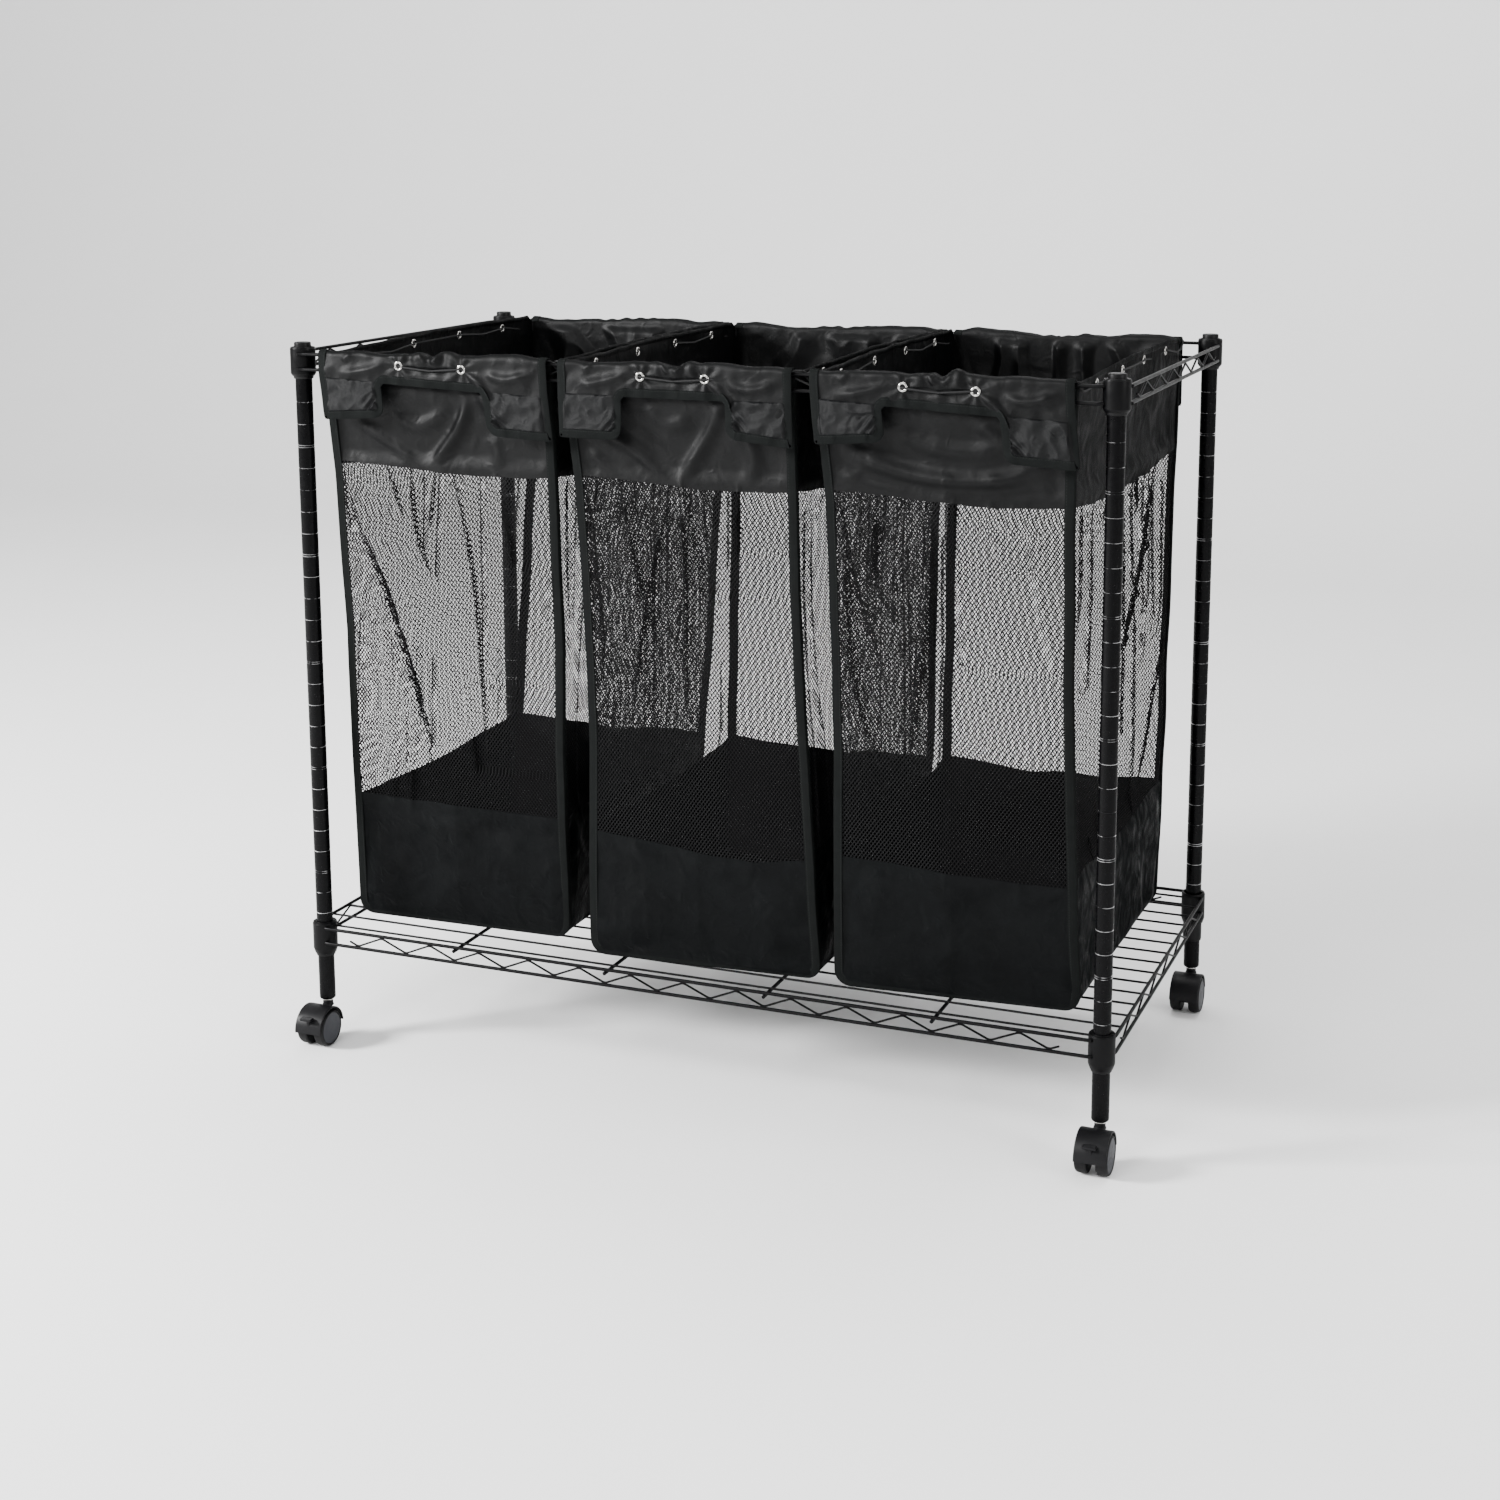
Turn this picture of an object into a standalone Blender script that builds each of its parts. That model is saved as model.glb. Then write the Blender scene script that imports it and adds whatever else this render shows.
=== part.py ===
"""Three-bag laundry sorting cart: wire frame on posts, twin-wheel casters, hung bags.

Metres, +Z up, +X to the right, the front faces -Y, the floor is z = 0.
"""

import math

import bmesh
import bpy
from mathutils import Matrix, Vector

# --- driving dimensions -------------------------------------------------------
SPAN_X = 0.945            # between post axes
SPAN_Y = 0.473
FIT = 0.0003              # gap left between neighbouring pieces

POST_R = 0.0095
POST_BORE_R = 0.0083
POST_BOTTOM = 0.0500
POST_TOP = 0.8300
CAP_TOP = 0.8365

COLLAR_R = 0.0143
COLLAR_BORE_R = 0.0116
COLLAR_LEVELS = {"upper": (0.7975, 0.8305), "lower": (0.1080, 0.1465)}
SLEEVE_BORE_R = POST_R + FIT
SLEEVE_R = COLLAR_BORE_R - FIT
SLEEVE_DROP = 0.0030      # how far a sleeve shows under its collar

RAIL_OFFSET = 0.0125      # rails run outside the post axes by this much
RAIL_R = 0.0020
RAIL_LEVELS = {"upper": (0.8062, 0.8235), "lower": (0.1233, 0.1414)}
ZIGZAG_R = 0.0012
ZIGZAG_PITCH = 0.0645
ZIGZAG_INSET = 0.0022     # bend centres inside the rail centres
ZIGZAG_STUB = 1.0 / 3.0   # the part of a half pitch that is left at each end
BENDS = {"x": 14, "y": 7}  # lower bends along each side

DECK_WIRE_R = 0.0013
DECK_WIRES = 15
DECK_PITCH = 0.0330
CROSS_BAR_R = 0.0021
CROSS_BAR_BENDS = (2, 5, 8, 11)  # the lower bends over which the bars lie
WELD_SINK = 0.0005        # how far crossing wires sink into each other

TRAIL = 0.0200            # caster axle in front of the post axis
WHEEL_R = 0.0215
WHEEL_OUTER_X = 0.0180
WHEEL_INNER_X = 0.0049
AXLE_R = 0.0029
AXLE_HALF = 0.0157
AXLE_BORE_R = AXLE_R + FIT
HOOD_R = 0.0255
HOOD_WALL = 0.0020
HOOD_HALF = 0.0175
HOOD_FRONT = math.radians(92)
HOOD_BACK = math.radians(-85)
WEB_HALF = 0.0045
WEB_LOW_R = 0.0120
NECK_R = 0.0060
NECK_FOOT = 0.0147        # above the axle, just clear of the wheels
NECK_TOP = 0.0475
NECK_BORE_R = 0.0040
STEM_R = 0.0036
STEM_FLANGE_R = 0.0062

LEVER_PIVOT = (-0.0125, 0.0040)  # Y and Z from the axle
LEVER_HALF = 0.0020
LEVER_TAB_HALF = 0.0075
LEVER_REACH = 0.0300
LEVER_PIN_R = 0.0016

BAG_PITCH = 0.294
BAG_HALF_X = 0.1410
BAG_WALL = 0.0010
BAG_FOOT = {"left": -0.022, "middle": 0.0, "right": 0.0}  # how far each floor hangs sideways
BAG_FLOOR = 0.1415
BAG_RIM = 0.8236
BAG_PANEL_Y = SPAN_Y / 2 + RAIL_OFFSET - 0.0035  # outer face of the front panel
FOLD_R = 0.0055
TAB_BOTTOM = 0.7465
NOTCH_TOP = 0.7930
NOTCH_HALF = 0.0640
EYELET_R = 0.0026
EYELET_Z = 0.8150
FLAP_EYELETS = (-0.039, 0.039)
SIDE_EYELETS = (-0.165, -0.055, 0.055, 0.165)
CORD_R = 0.0010
CORD_OFF = CORD_R + 0.0004  # cord centre off a cloth face

FLAP_INNER_Y = BAG_PANEL_Y + 2 * FOLD_R
FLAP_OUTER_Y = FLAP_INNER_Y + BAG_WALL
FRONT_REACH = SPAN_Y / 2 + TRAIL + LEVER_REACH
BACK_REACH = FLAP_OUTER_Y + CORD_OFF + CORD_R
ORIGIN_Y = (FRONT_REACH - BACK_REACH) / 2  # centres the outer box on the origin

CORNERS = {"fl": (-1, -1), "fr": (1, -1), "bl": (-1, 1), "br": (1, 1)}
BAGS = {"left": -1, "middle": 0, "right": 1}

# Name: colour, roughness, metallic
FINISHES = {
    "black_coat": ((0.012, 0.012, 0.013), 0.38, 0.30),
    "black_plastic": ((0.014, 0.014, 0.015), 0.42, 0.0),
    "grey_tread": ((0.045, 0.043, 0.046), 0.50, 0.0),
    "nickel": ((0.55, 0.54, 0.52), 0.25, 1.0),
    "nylon": ((0.010, 0.011, 0.012), 0.48, 0.0),
    "cord": ((0.010, 0.010, 0.010), 0.80, 0.0),
}


# --- helpers ------------------------------------------------------------------
def clear_scene():
    for obj in list(bpy.data.objects):
        bpy.data.objects.remove(obj, do_unlink=True)


def finish_for(name, finish):
    colour, roughness, metallic = FINISHES[finish]
    material = bpy.data.materials.new(name)
    material.use_nodes = True
    shader = material.node_tree.nodes["Principled BSDF"]
    shader.inputs["Base Color"].default_value = (*colour, 1.0)
    shader.inputs["Roughness"].default_value = roughness
    shader.inputs["Metallic"].default_value = metallic
    return material


def mesh_from(bm, name):
    bmesh.ops.recalc_face_normals(bm, faces=bm.faces[:])
    mesh = bpy.data.meshes.new(name)
    bm.to_mesh(mesh)
    bm.free()
    return mesh


def add(name, mesh, finish, parent, location=(0, 0, 0)):
    """Puts a finished mesh in the scene as one named piece."""
    mesh.name = name
    mesh.shade_smooth()
    mesh.set_sharp_from_angle(angle=math.radians(35))
    mesh.materials.clear()
    mesh.materials.append(finish_for(name, finish))
    obj = bpy.data.objects.new(name, mesh)
    obj.location = location
    obj.parent = parent
    bpy.context.collection.objects.link(obj)
    return obj


def pivot(name, parent, location):
    empty = bpy.data.objects.new(name, None)
    empty.location = location
    empty.parent = parent
    bpy.context.collection.objects.link(empty)
    return empty


def ring_faces(bm, rings, closed):
    """Bridges successive rings of vertices with quads."""
    pairs = list(zip(rings, rings[1:]))
    if closed:
        pairs.append((rings[-1], rings[0]))
    for a, b in pairs:
        count = len(a)
        for i in range(count):
            j = (i + 1) % count
            bm.faces.new((a[i], a[j], b[j], b[i]))


def tube(points, radius, sides=8, closed=False):
    """A round wire swept along points, its corners mitred."""
    points = [Vector(p) for p in points]
    count = len(points)
    bm = bmesh.new()
    rings = []
    side = None
    for i, point in enumerate(points):
        before = points[i - 1] if closed or i else None
        after = points[(i + 1) % count] if closed or i < count - 1 else None
        come = (point - before).normalized() if before else (after - point).normalized()
        go = (after - point).normalized() if after else come
        along = (come + go).normalized()
        if side is None:
            side = along.orthogonal().normalized()
        side = (side - along * side.dot(along)).normalized()
        up = along.cross(side)
        bend = go - come
        stretch = 1.0 / max(0.5, along.dot(go))
        outwards = bend.normalized() if bend.length > 1e-6 else side
        ring = []
        for k in range(sides):
            angle = 2 * math.pi * k / sides
            spoke = (side * math.cos(angle) + up * math.sin(angle)) * radius
            spoke += outwards * spoke.dot(outwards) * (stretch - 1.0)
            ring.append(bm.verts.new(point + spoke))
        rings.append(ring)
    ring_faces(bm, rings, closed)
    if not closed:
        bm.faces.new(list(reversed(rings[0])))
        bm.faces.new(rings[-1])
    return mesh_from(bm, "tube")


def turned(profile, sides=24, axis="Z", loop=False):
    """Turns (radius, height) points round an axis; a loop profile makes a ring."""
    bm = bmesh.new()
    rings = []
    poles = []
    for radius, height in profile:
        if radius < 1e-7:
            poles.append(bm.verts.new((0, 0, height)))
            continue
        ring = []
        for k in range(sides):
            angle = 2 * math.pi * k / sides
            ring.append(bm.verts.new((radius * math.cos(angle), radius * math.sin(angle), height)))
        rings.append(ring)
    ring_faces(bm, rings, loop)
    if not loop:
        for pole, ring in zip(poles, (rings[0], rings[-1])):
            for k in range(sides):
                bm.faces.new((pole, ring[k], ring[(k + 1) % sides]))
    if axis == "X":
        bmesh.ops.transform(bm, matrix=Matrix.Rotation(math.pi / 2, 4, "Y"), verts=bm.verts[:])
    return mesh_from(bm, "turned")


def arc_ring(profile, start, end, steps):
    """Sweeps a closed (radius, height) outline round Z from one angle to another."""
    bm = bmesh.new()
    rings = []
    for k in range(steps + 1):
        angle = start + (end - start) * k / steps
        cos, sin = math.cos(angle), math.sin(angle)
        rings.append([bm.verts.new((r * cos, r * sin, z)) for r, z in profile])
    ring_faces(bm, rings, False)
    bm.faces.new(rings[0])
    bm.faces.new(rings[-1])
    return mesh_from(bm, "arc_ring")


def plate(outline, half, centre_x=0.0):
    """A flat plate: a (Y, Z) outline with its thickness along X."""
    bm = bmesh.new()
    left = [bm.verts.new((centre_x - half, y, z)) for y, z in outline]
    right = [bm.verts.new((centre_x + half, y, z)) for y, z in outline]
    ring_faces(bm, [left, right], False)
    bm.faces.new(left)
    bm.faces.new(right)
    return mesh_from(bm, "plate")


def box(low, high):
    low, high = Vector(low), Vector(high)
    bm = bmesh.new()
    bmesh.ops.create_cube(bm, size=1.0)
    for vert in bm.verts:
        vert.co = [(low[i] + high[i]) / 2 + vert.co[i] * (high[i] - low[i]) for i in range(3)]
    return mesh_from(bm, "box")


def moved(mesh, offset):
    mesh.transform(Matrix.Translation(offset))
    return mesh


def joined(meshes):
    bm = bmesh.new()
    for mesh in meshes:
        bm.from_mesh(mesh)
    return mesh_from(bm, "joined")


def boolean(base, others, operation):
    """The base mesh joined with, or cut by, other meshes that may cross one another."""
    target = bpy.data.objects.new("target", base)
    tool = bpy.data.objects.new("tool", joined(others))
    for obj in (target, tool):
        bpy.context.collection.objects.link(obj)
    change = target.modifiers.new("change", "BOOLEAN")
    change.operation = operation
    change.solver = "EXACT"
    change.use_self = True
    change.object = tool
    graph = bpy.context.evaluated_depsgraph_get()
    result = bpy.data.meshes.new_from_object(target.evaluated_get(graph))
    for obj in (target, tool):
        bpy.data.objects.remove(obj, do_unlink=True)
    return result


def rod(start, end, radius, sides=8):
    return tube([start, end], radius, sides)


# --- frame --------------------------------------------------------------------
def corner_point(corner):
    sx, sy = CORNERS[corner]
    return Vector((sx * SPAN_X / 2, sy * SPAN_Y / 2, 0))


def make_posts(root):
    wall = [
        (POST_R, POST_BOTTOM),
        (POST_R, POST_TOP),
        (POST_BORE_R, POST_TOP),
        (POST_BORE_R, POST_BOTTOM),
    ]
    cap = [
        (0, POST_TOP - 0.010),
        (POST_BORE_R - FIT, POST_TOP - 0.010),
        (POST_BORE_R - FIT, POST_TOP + FIT),
        (POST_R, POST_TOP + FIT),
        (POST_R, CAP_TOP - 0.0018),
        (POST_R - 0.0008, CAP_TOP - 0.0005),
        (POST_R - 0.0025, CAP_TOP),
        (0, CAP_TOP),
    ]
    for corner in CORNERS:
        at = corner_point(corner)
        add(f"post_{corner}", turned(wall, loop=True), "black_coat", root, at)
        add(f"post_cap_{corner}", turned(cap, 16), "black_plastic", root, at)


def make_sleeves(root):
    """Slit plastic sleeves wedged between post and collar."""
    slit = math.radians(8)
    for level, (bottom, top) in COLLAR_LEVELS.items():
        low = bottom - SLEEVE_DROP
        outline = [
            (SLEEVE_BORE_R, low),
            (SLEEVE_BORE_R + 0.0004, low),
            (SLEEVE_R, bottom),
            (SLEEVE_R, top - 0.0010),
            (SLEEVE_BORE_R, top - 0.0010),
        ]
        for corner in CORNERS:
            mesh = arc_ring(outline, slit / 2, 2 * math.pi - slit / 2, 16)
            add(f"{level}_sleeve_{corner}", mesh, "black_plastic", root, corner_point(corner))


def zigzag(bends, level):
    """Points along a rail and in height: lower bends, upper bends and short end stubs."""
    low = RAIL_LEVELS[level][0] + ZIGZAG_INSET
    high = RAIL_LEVELS[level][1] - ZIGZAG_INSET
    first = -(bends - 1) / 2 * ZIGZAG_PITCH
    stub = ZIGZAG_PITCH / 2 * ZIGZAG_STUB
    stub_rise = (high - low) * ZIGZAG_STUB
    points = [(first - stub, low + stub_rise)]
    for i in range(bends):
        points.append((first + i * ZIGZAG_PITCH, low))
        if i < bends - 1:
            points.append((first + (i + 0.5) * ZIGZAG_PITCH, high))
    points.append((-first + stub, low + stub_rise))
    return points


def front_or_back_rail(side, level):
    y = side * (SPAN_Y / 2 + RAIL_OFFSET)
    inner = RAIL_OFFSET - RAIL_R
    end = SPAN_X / 2 - math.sqrt((COLLAR_R + FIT) ** 2 - inner ** 2)
    rails = [rod((-end, y, z), (end, y, z), RAIL_R) for z in RAIL_LEVELS[level]]
    web = tube([(x, y, z) for x, z in zigzag(BENDS["x"], level)], ZIGZAG_R, 6)
    return boolean(web, rails, "UNION")


def collar(level, corner):
    bottom, top = COLLAR_LEVELS[level]
    taper = 0.0050 if level == "lower" else 0.0025
    outline = [
        (COLLAR_BORE_R, bottom),
        (COLLAR_BORE_R + 0.0005, bottom),
        (COLLAR_R, bottom + taper),
        (COLLAR_R, top),
        (COLLAR_BORE_R, top),
    ]
    return moved(turned(outline, loop=True), corner_point(corner))


def side_rail(side, level, corners):
    x = side * (SPAN_X / 2 + RAIL_OFFSET)
    end = SPAN_Y / 2 - 0.0060
    rails = [rod((x, -end, z), (x, end, z), RAIL_R) for z in RAIL_LEVELS[level]]
    web = tube([(x, y, z) for y, z in zigzag(BENDS["y"], level)], ZIGZAG_R, 6)
    return boolean(web, rails + [collar(level, corner) for corner in corners], "UNION")


def deck():
    """Wires along X welded over four cross bars."""
    bar_z = RAIL_LEVELS["lower"][1] - RAIL_R - FIT - CROSS_BAR_R
    wire_z = bar_z + CROSS_BAR_R + DECK_WIRE_R - WELD_SINK
    bar_end = SPAN_Y / 2 + RAIL_OFFSET + 0.0015
    bars = []
    for bend in CROSS_BAR_BENDS:
        x = (bend - (BENDS["x"] - 1) / 2) * ZIGZAG_PITCH
        bars.append(rod((x, -bar_end, bar_z), (x, bar_end, bar_z), CROSS_BAR_R))
    wires = []
    for k in range(DECK_WIRES):
        y = (k - (DECK_WIRES - 1) / 2) * DECK_PITCH
        beside_post = SPAN_Y / 2 - abs(y) < COLLAR_R + DECK_WIRE_R
        reach = SPAN_X / 2 + (-COLLAR_R - FIT if beside_post else RAIL_OFFSET - RAIL_R - FIT)
        wires.append(rod((-reach, y, wire_z), (reach, y, wire_z), DECK_WIRE_R, 6))
    return boolean(joined(bars), wires, "UNION")


def make_frame(root):
    for level, prefix in (("upper", "upper"), ("lower", "shelf")):
        for side, name in ((-1, "front"), (1, "back")):
            add(f"{prefix}_rail_{name}", front_or_back_rail(side, level), "black_coat", root)
        for side, name, corners in ((-1, "left", ("fl", "bl")), (1, "right", ("fr", "br"))):
            add(f"{prefix}_side_{name}", side_rail(side, level, corners), "black_coat", root)
    add("shelf_deck", deck(), "black_coat", root)


# --- casters ------------------------------------------------------------------
def polar(radius, angle):
    """Y and Z at an angle from straight up towards the front (-Y)."""
    return -radius * math.sin(angle), radius * math.cos(angle)


def hood_shell():
    """The curved cover over both wheels."""
    outline = [
        (HOOD_R - HOOD_WALL, -HOOD_HALF),
        (HOOD_R - 0.0008, -HOOD_HALF),
        (HOOD_R, -HOOD_HALF + 0.0012),
        (HOOD_R, HOOD_HALF - 0.0012),
        (HOOD_R - 0.0008, HOOD_HALF),
        (HOOD_R - HOOD_WALL, HOOD_HALF),
    ]
    shell = arc_ring(outline, HOOD_BACK, HOOD_FRONT, 14)
    # Z of the sweep becomes X, and its zero angle becomes straight up.
    turn = Matrix(((0, 0, 1, 0), (0, -1, 0, 0), (1, 0, 0, 0), (0, 0, 0, 1)))
    shell.transform(turn)
    return shell


def hood_web():
    """The middle plate that carries the axle."""
    steps = 12
    sweep = (HOOD_FRONT - HOOD_BACK) / steps
    upper = [polar(HOOD_R - HOOD_WALL / 2, HOOD_BACK + sweep * k) for k in range(steps + 1)]
    lower = [polar(WEB_LOW_R, math.radians(angle)) for angle in range(100, 261, 20)]
    return plate(upper + lower, WEB_HALF)


def hood(with_lever):
    """Hood, web and neck, with the axle at the mesh origin."""
    top = NECK_TOP - WHEEL_R
    neck = turned([(0, NECK_FOOT), (NECK_R, NECK_FOOT), (NECK_R, top), (0, top)], 16)
    body = boolean(hood_web(), [hood_shell(), moved(neck, (0, TRAIL, 0))], "UNION")
    socket = rod((0, TRAIL, 0.0165), (0, TRAIL, 0.0300), NECK_BORE_R, 12)
    axle_bore = rod((-0.010, 0, 0), (0.010, 0, 0), AXLE_BORE_R, 12)
    cutters = [socket, axle_bore]
    if with_lever:
        y, z = LEVER_PIVOT
        slot = LEVER_HALF + 0.0004
        cutters.append(box((-slot, -0.032, -0.0075), (slot, y + 0.0045, 0.0185)))
        cutters.append(rod((-0.010, y, z), (0.010, y, z), LEVER_PIN_R + FIT, 10))
    return boolean(body, cutters, "DIFFERENCE")


def lever():
    """Brake lever with its pivot at the mesh origin."""
    y0, z0 = LEVER_PIVOT
    tab_y, tab_z = -LEVER_REACH - y0, 0.0165 - z0
    thick = 0.0028
    arm = [
        (0.0030, -0.0012),
        (0.0030, 0.0012),
        (0.0012, 0.0030),
        (-0.0050, tab_z + thick - 0.0040),
        (-0.0095, tab_z + thick),
        (-0.0110, tab_z + thick),
        (-0.0110, tab_z),
        (-0.0085, 0.0050),
        (-0.0040, -0.0030),
        (-0.0012, -0.0032),
    ]
    tab = box((-LEVER_TAB_HALF, tab_y, tab_z), (LEVER_TAB_HALF, -0.0104, tab_z + thick - 0.0001))
    pin = rod((-0.0040, 0, 0), (0.0040, 0, 0), LEVER_PIN_R, 10)
    return boolean(plate(arm, LEVER_HALF), [tab, pin], "UNION")


def wheel():
    """A wheel about X, closed on its outer face, bored from the inner one."""
    inner, outer = WHEEL_INNER_X, WHEEL_OUTER_X
    profile = [
        (0, AXLE_HALF + FIT),
        (AXLE_BORE_R, AXLE_HALF + FIT),
        (AXLE_BORE_R, inner),
        (WHEEL_R - 0.0015, inner),
        (WHEEL_R, inner + 0.0015),
        (WHEEL_R, outer - 0.0028),
        (WHEEL_R - 0.0010, outer - 0.0010),
        (WHEEL_R - 0.0030, outer),
        (WHEEL_R - 0.0045, outer - 0.0006),
        (0, outer - 0.0004),
    ]
    return turned(profile, 24, "X")


def stem():
    """Nickel stem: spigot in the neck, ring under the post, grip inside the tube."""
    profile = [
        (0, 0.0400),
        (STEM_R, 0.0400),
        (STEM_R, NECK_TOP + FIT),
        (STEM_FLANGE_R, NECK_TOP + FIT),
        (STEM_FLANGE_R, POST_BOTTOM - FIT),
        (0.0055, POST_BOTTOM - FIT),
        (0.0055, POST_BOTTOM + 0.0020),
        (POST_BORE_R - FIT, POST_BOTTOM + 0.0030),
        (POST_BORE_R - FIT, POST_BOTTOM + 0.0280),
        (0.0055, POST_BOTTOM + 0.0330),
        (0, POST_BOTTOM + 0.0330),
    ]
    return turned(profile, 16)


def make_casters(root):
    axle_profile = [(0, -AXLE_HALF), (AXLE_R, -AXLE_HALF), (AXLE_R, AXLE_HALF), (0, AXLE_HALF)]
    for corner in CORNERS:
        at = corner_point(corner)
        braked = CORNERS[corner][1] < 0
        add(f"caster_stem_{corner}", stem(), "nickel", root, at)
        swivel = pivot(f"swivel_{corner}", root, at)
        axle_at = Vector((0, -TRAIL, WHEEL_R))
        add(f"caster_hood_{corner}", hood(braked), "black_plastic", swivel, axle_at)
        add(f"caster_axle_{corner}", turned(axle_profile, 12, "X"), "nickel", swivel, axle_at)
        right = wheel()
        left = right.copy()
        left.transform(Matrix.Scale(-1, 4, (1, 0, 0)))
        left.flip_normals()
        add(f"caster_wheel_{corner}_r", right, "grey_tread", swivel, axle_at)
        add(f"caster_wheel_{corner}_l", left, "grey_tread", swivel, axle_at)
        if braked:
            lever_at = axle_at + Vector((0, *LEVER_PIVOT))
            add(f"brake_lever_{corner}", lever(), "black_plastic", swivel, lever_at)


# --- bags ---------------------------------------------------------------------
def rounded_ring(half_x, half_y, radius, steps=3):
    """Points of a rounded rectangle, counter-clockwise."""
    points = []
    for quarter in range(4):
        sx = (1, -1, -1, 1)[quarter]
        sy = (1, 1, -1, -1)[quarter]
        centre = Vector((sx * (half_x - radius), sy * (half_y - radius)))
        for k in range(steps + 1):
            angle = math.pi / 2 * (quarter + k / steps)
            points.append(centre + radius * Vector((math.cos(angle), math.sin(angle))))
    return points


def bag_shell(foot):
    """Open-topped cloth box that widens from its floor to its rim, its floor hung sideways."""
    # Height, half width, half depth, corner radius of the outer face, share of the foot's shift
    sections = [
        (BAG_FLOOR, BAG_HALF_X - 0.0035, 0.1880, 0.0200, 1.0),
        (BAG_FLOOR + 0.0060, BAG_HALF_X - 0.0025, 0.1900, 0.0200, 1.0),
        (0.2950, BAG_HALF_X - 0.0020, 0.2070, 0.0160, 0.5),
        (0.6950, BAG_HALF_X - 0.0005, 0.2380, 0.0080, 0.0),
        (0.7800, BAG_HALF_X, BAG_PANEL_Y, 0.0060, 0.0),
        (BAG_RIM, BAG_HALF_X, BAG_PANEL_Y, 0.0060, 0.0),
    ]
    bm = bmesh.new()
    rings = []
    for z, half_x, half_y, radius, share in sections:
        ring = rounded_ring(half_x, half_y, radius)
        rings.append([bm.verts.new((p.x + foot * share, p.y, z)) for p in ring])
    for z, half_x, half_y, radius, share in reversed(sections):
        z += BAG_WALL if z == BAG_FLOOR else 0
        ring = rounded_ring(half_x - BAG_WALL, half_y - BAG_WALL, radius - BAG_WALL)
        rings.append([bm.verts.new((p.x + foot * share, p.y, z)) for p in ring])
    ring_faces(bm, rings, False)
    bm.faces.new(rings[0])
    bm.faces.new(rings[-1])
    return mesh_from(bm, "bag_shell")


def flap(side):
    """Fold over a rail with its outer leaf; side -1 is the front."""
    skin = 0.00005
    inner_r, outer_r = FOLD_R + skin, FOLD_R + BAG_WALL - skin
    centre = BAG_PANEL_Y + FOLD_R
    steps = 6
    outline = [(centre - inner_r, BAG_RIM - 0.0015)]
    for k in range(steps + 1):
        angle = math.pi * k / steps
        outline.append((centre - inner_r * math.cos(angle), BAG_RIM + inner_r * math.sin(angle)))
    outline.append((centre + inner_r, TAB_BOTTOM))
    outline.append((centre + outer_r, TAB_BOTTOM))
    for k in range(steps + 1):
        angle = math.pi * (1 - k / steps)
        outline.append((centre - outer_r * math.cos(angle), BAG_RIM + outer_r * math.sin(angle)))
    outline.append((centre - outer_r, BAG_RIM - 0.0015))
    return plate([(side * y, z) for y, z in outline], BAG_HALF_X - skin)


def notch_cutter(side):
    """Rounded block that leaves two tabs on a flap."""
    low_y, high_y = FLAP_INNER_Y - 0.002, FLAP_OUTER_Y + 0.002
    round_r, steps = 0.012, 3
    outline = [(-NOTCH_HALF, TAB_BOTTOM - 0.01), (NOTCH_HALF, TAB_BOTTOM - 0.01)]
    for k in range(steps + 1):
        angle = math.pi / 2 * k / steps
        outline.append((
            NOTCH_HALF - round_r + round_r * math.cos(angle),
            NOTCH_TOP - round_r + round_r * math.sin(angle),
        ))
    outline += [(-x, z) for x, z in reversed(outline[2:])]
    bm = bmesh.new()
    near = [bm.verts.new((x, side * low_y, z)) for x, z in outline]
    far = [bm.verts.new((x, side * high_y, z)) for x, z in outline]
    ring_faces(bm, [near, far], False)
    bm.faces.new(near)
    bm.faces.new(far)
    return mesh_from(bm, "notch")


def eyelet_cutters():
    cutters = []
    for side in (-1, 1):
        for x in FLAP_EYELETS:
            near, far = side * (FLAP_INNER_Y - 0.002), side * (FLAP_OUTER_Y + 0.002)
            cutters.append(rod((x, near, EYELET_Z), (x, far, EYELET_Z), EYELET_R, 10))
        for y in SIDE_EYELETS:
            near, far = side * (BAG_HALF_X - 0.004), side * (BAG_HALF_X + 0.002)
            cutters.append(rod((near, y, EYELET_Z), (far, y, EYELET_Z), EYELET_R, 10))
    return cutters


def bag(foot):
    cloth = boolean(bag_shell(foot), [flap(-1), flap(1)], "UNION")
    return boolean(cloth, [notch_cutter(-1), notch_cutter(1)] + eyelet_cutters(), "DIFFERENCE")


def through(at, before, after, along, across):
    """Cord points that slip through an eyelet: from one cloth face to the other."""
    steps = ((-0.0048, 0.0), (-0.0017, 0.10), (0.0, 0.5), (0.0017, 0.90), (0.0048, 1.0))
    points = []
    for step, part in steps:
        points.append(at + along * step + across * (before + (after - before) * part))
    return points


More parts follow.
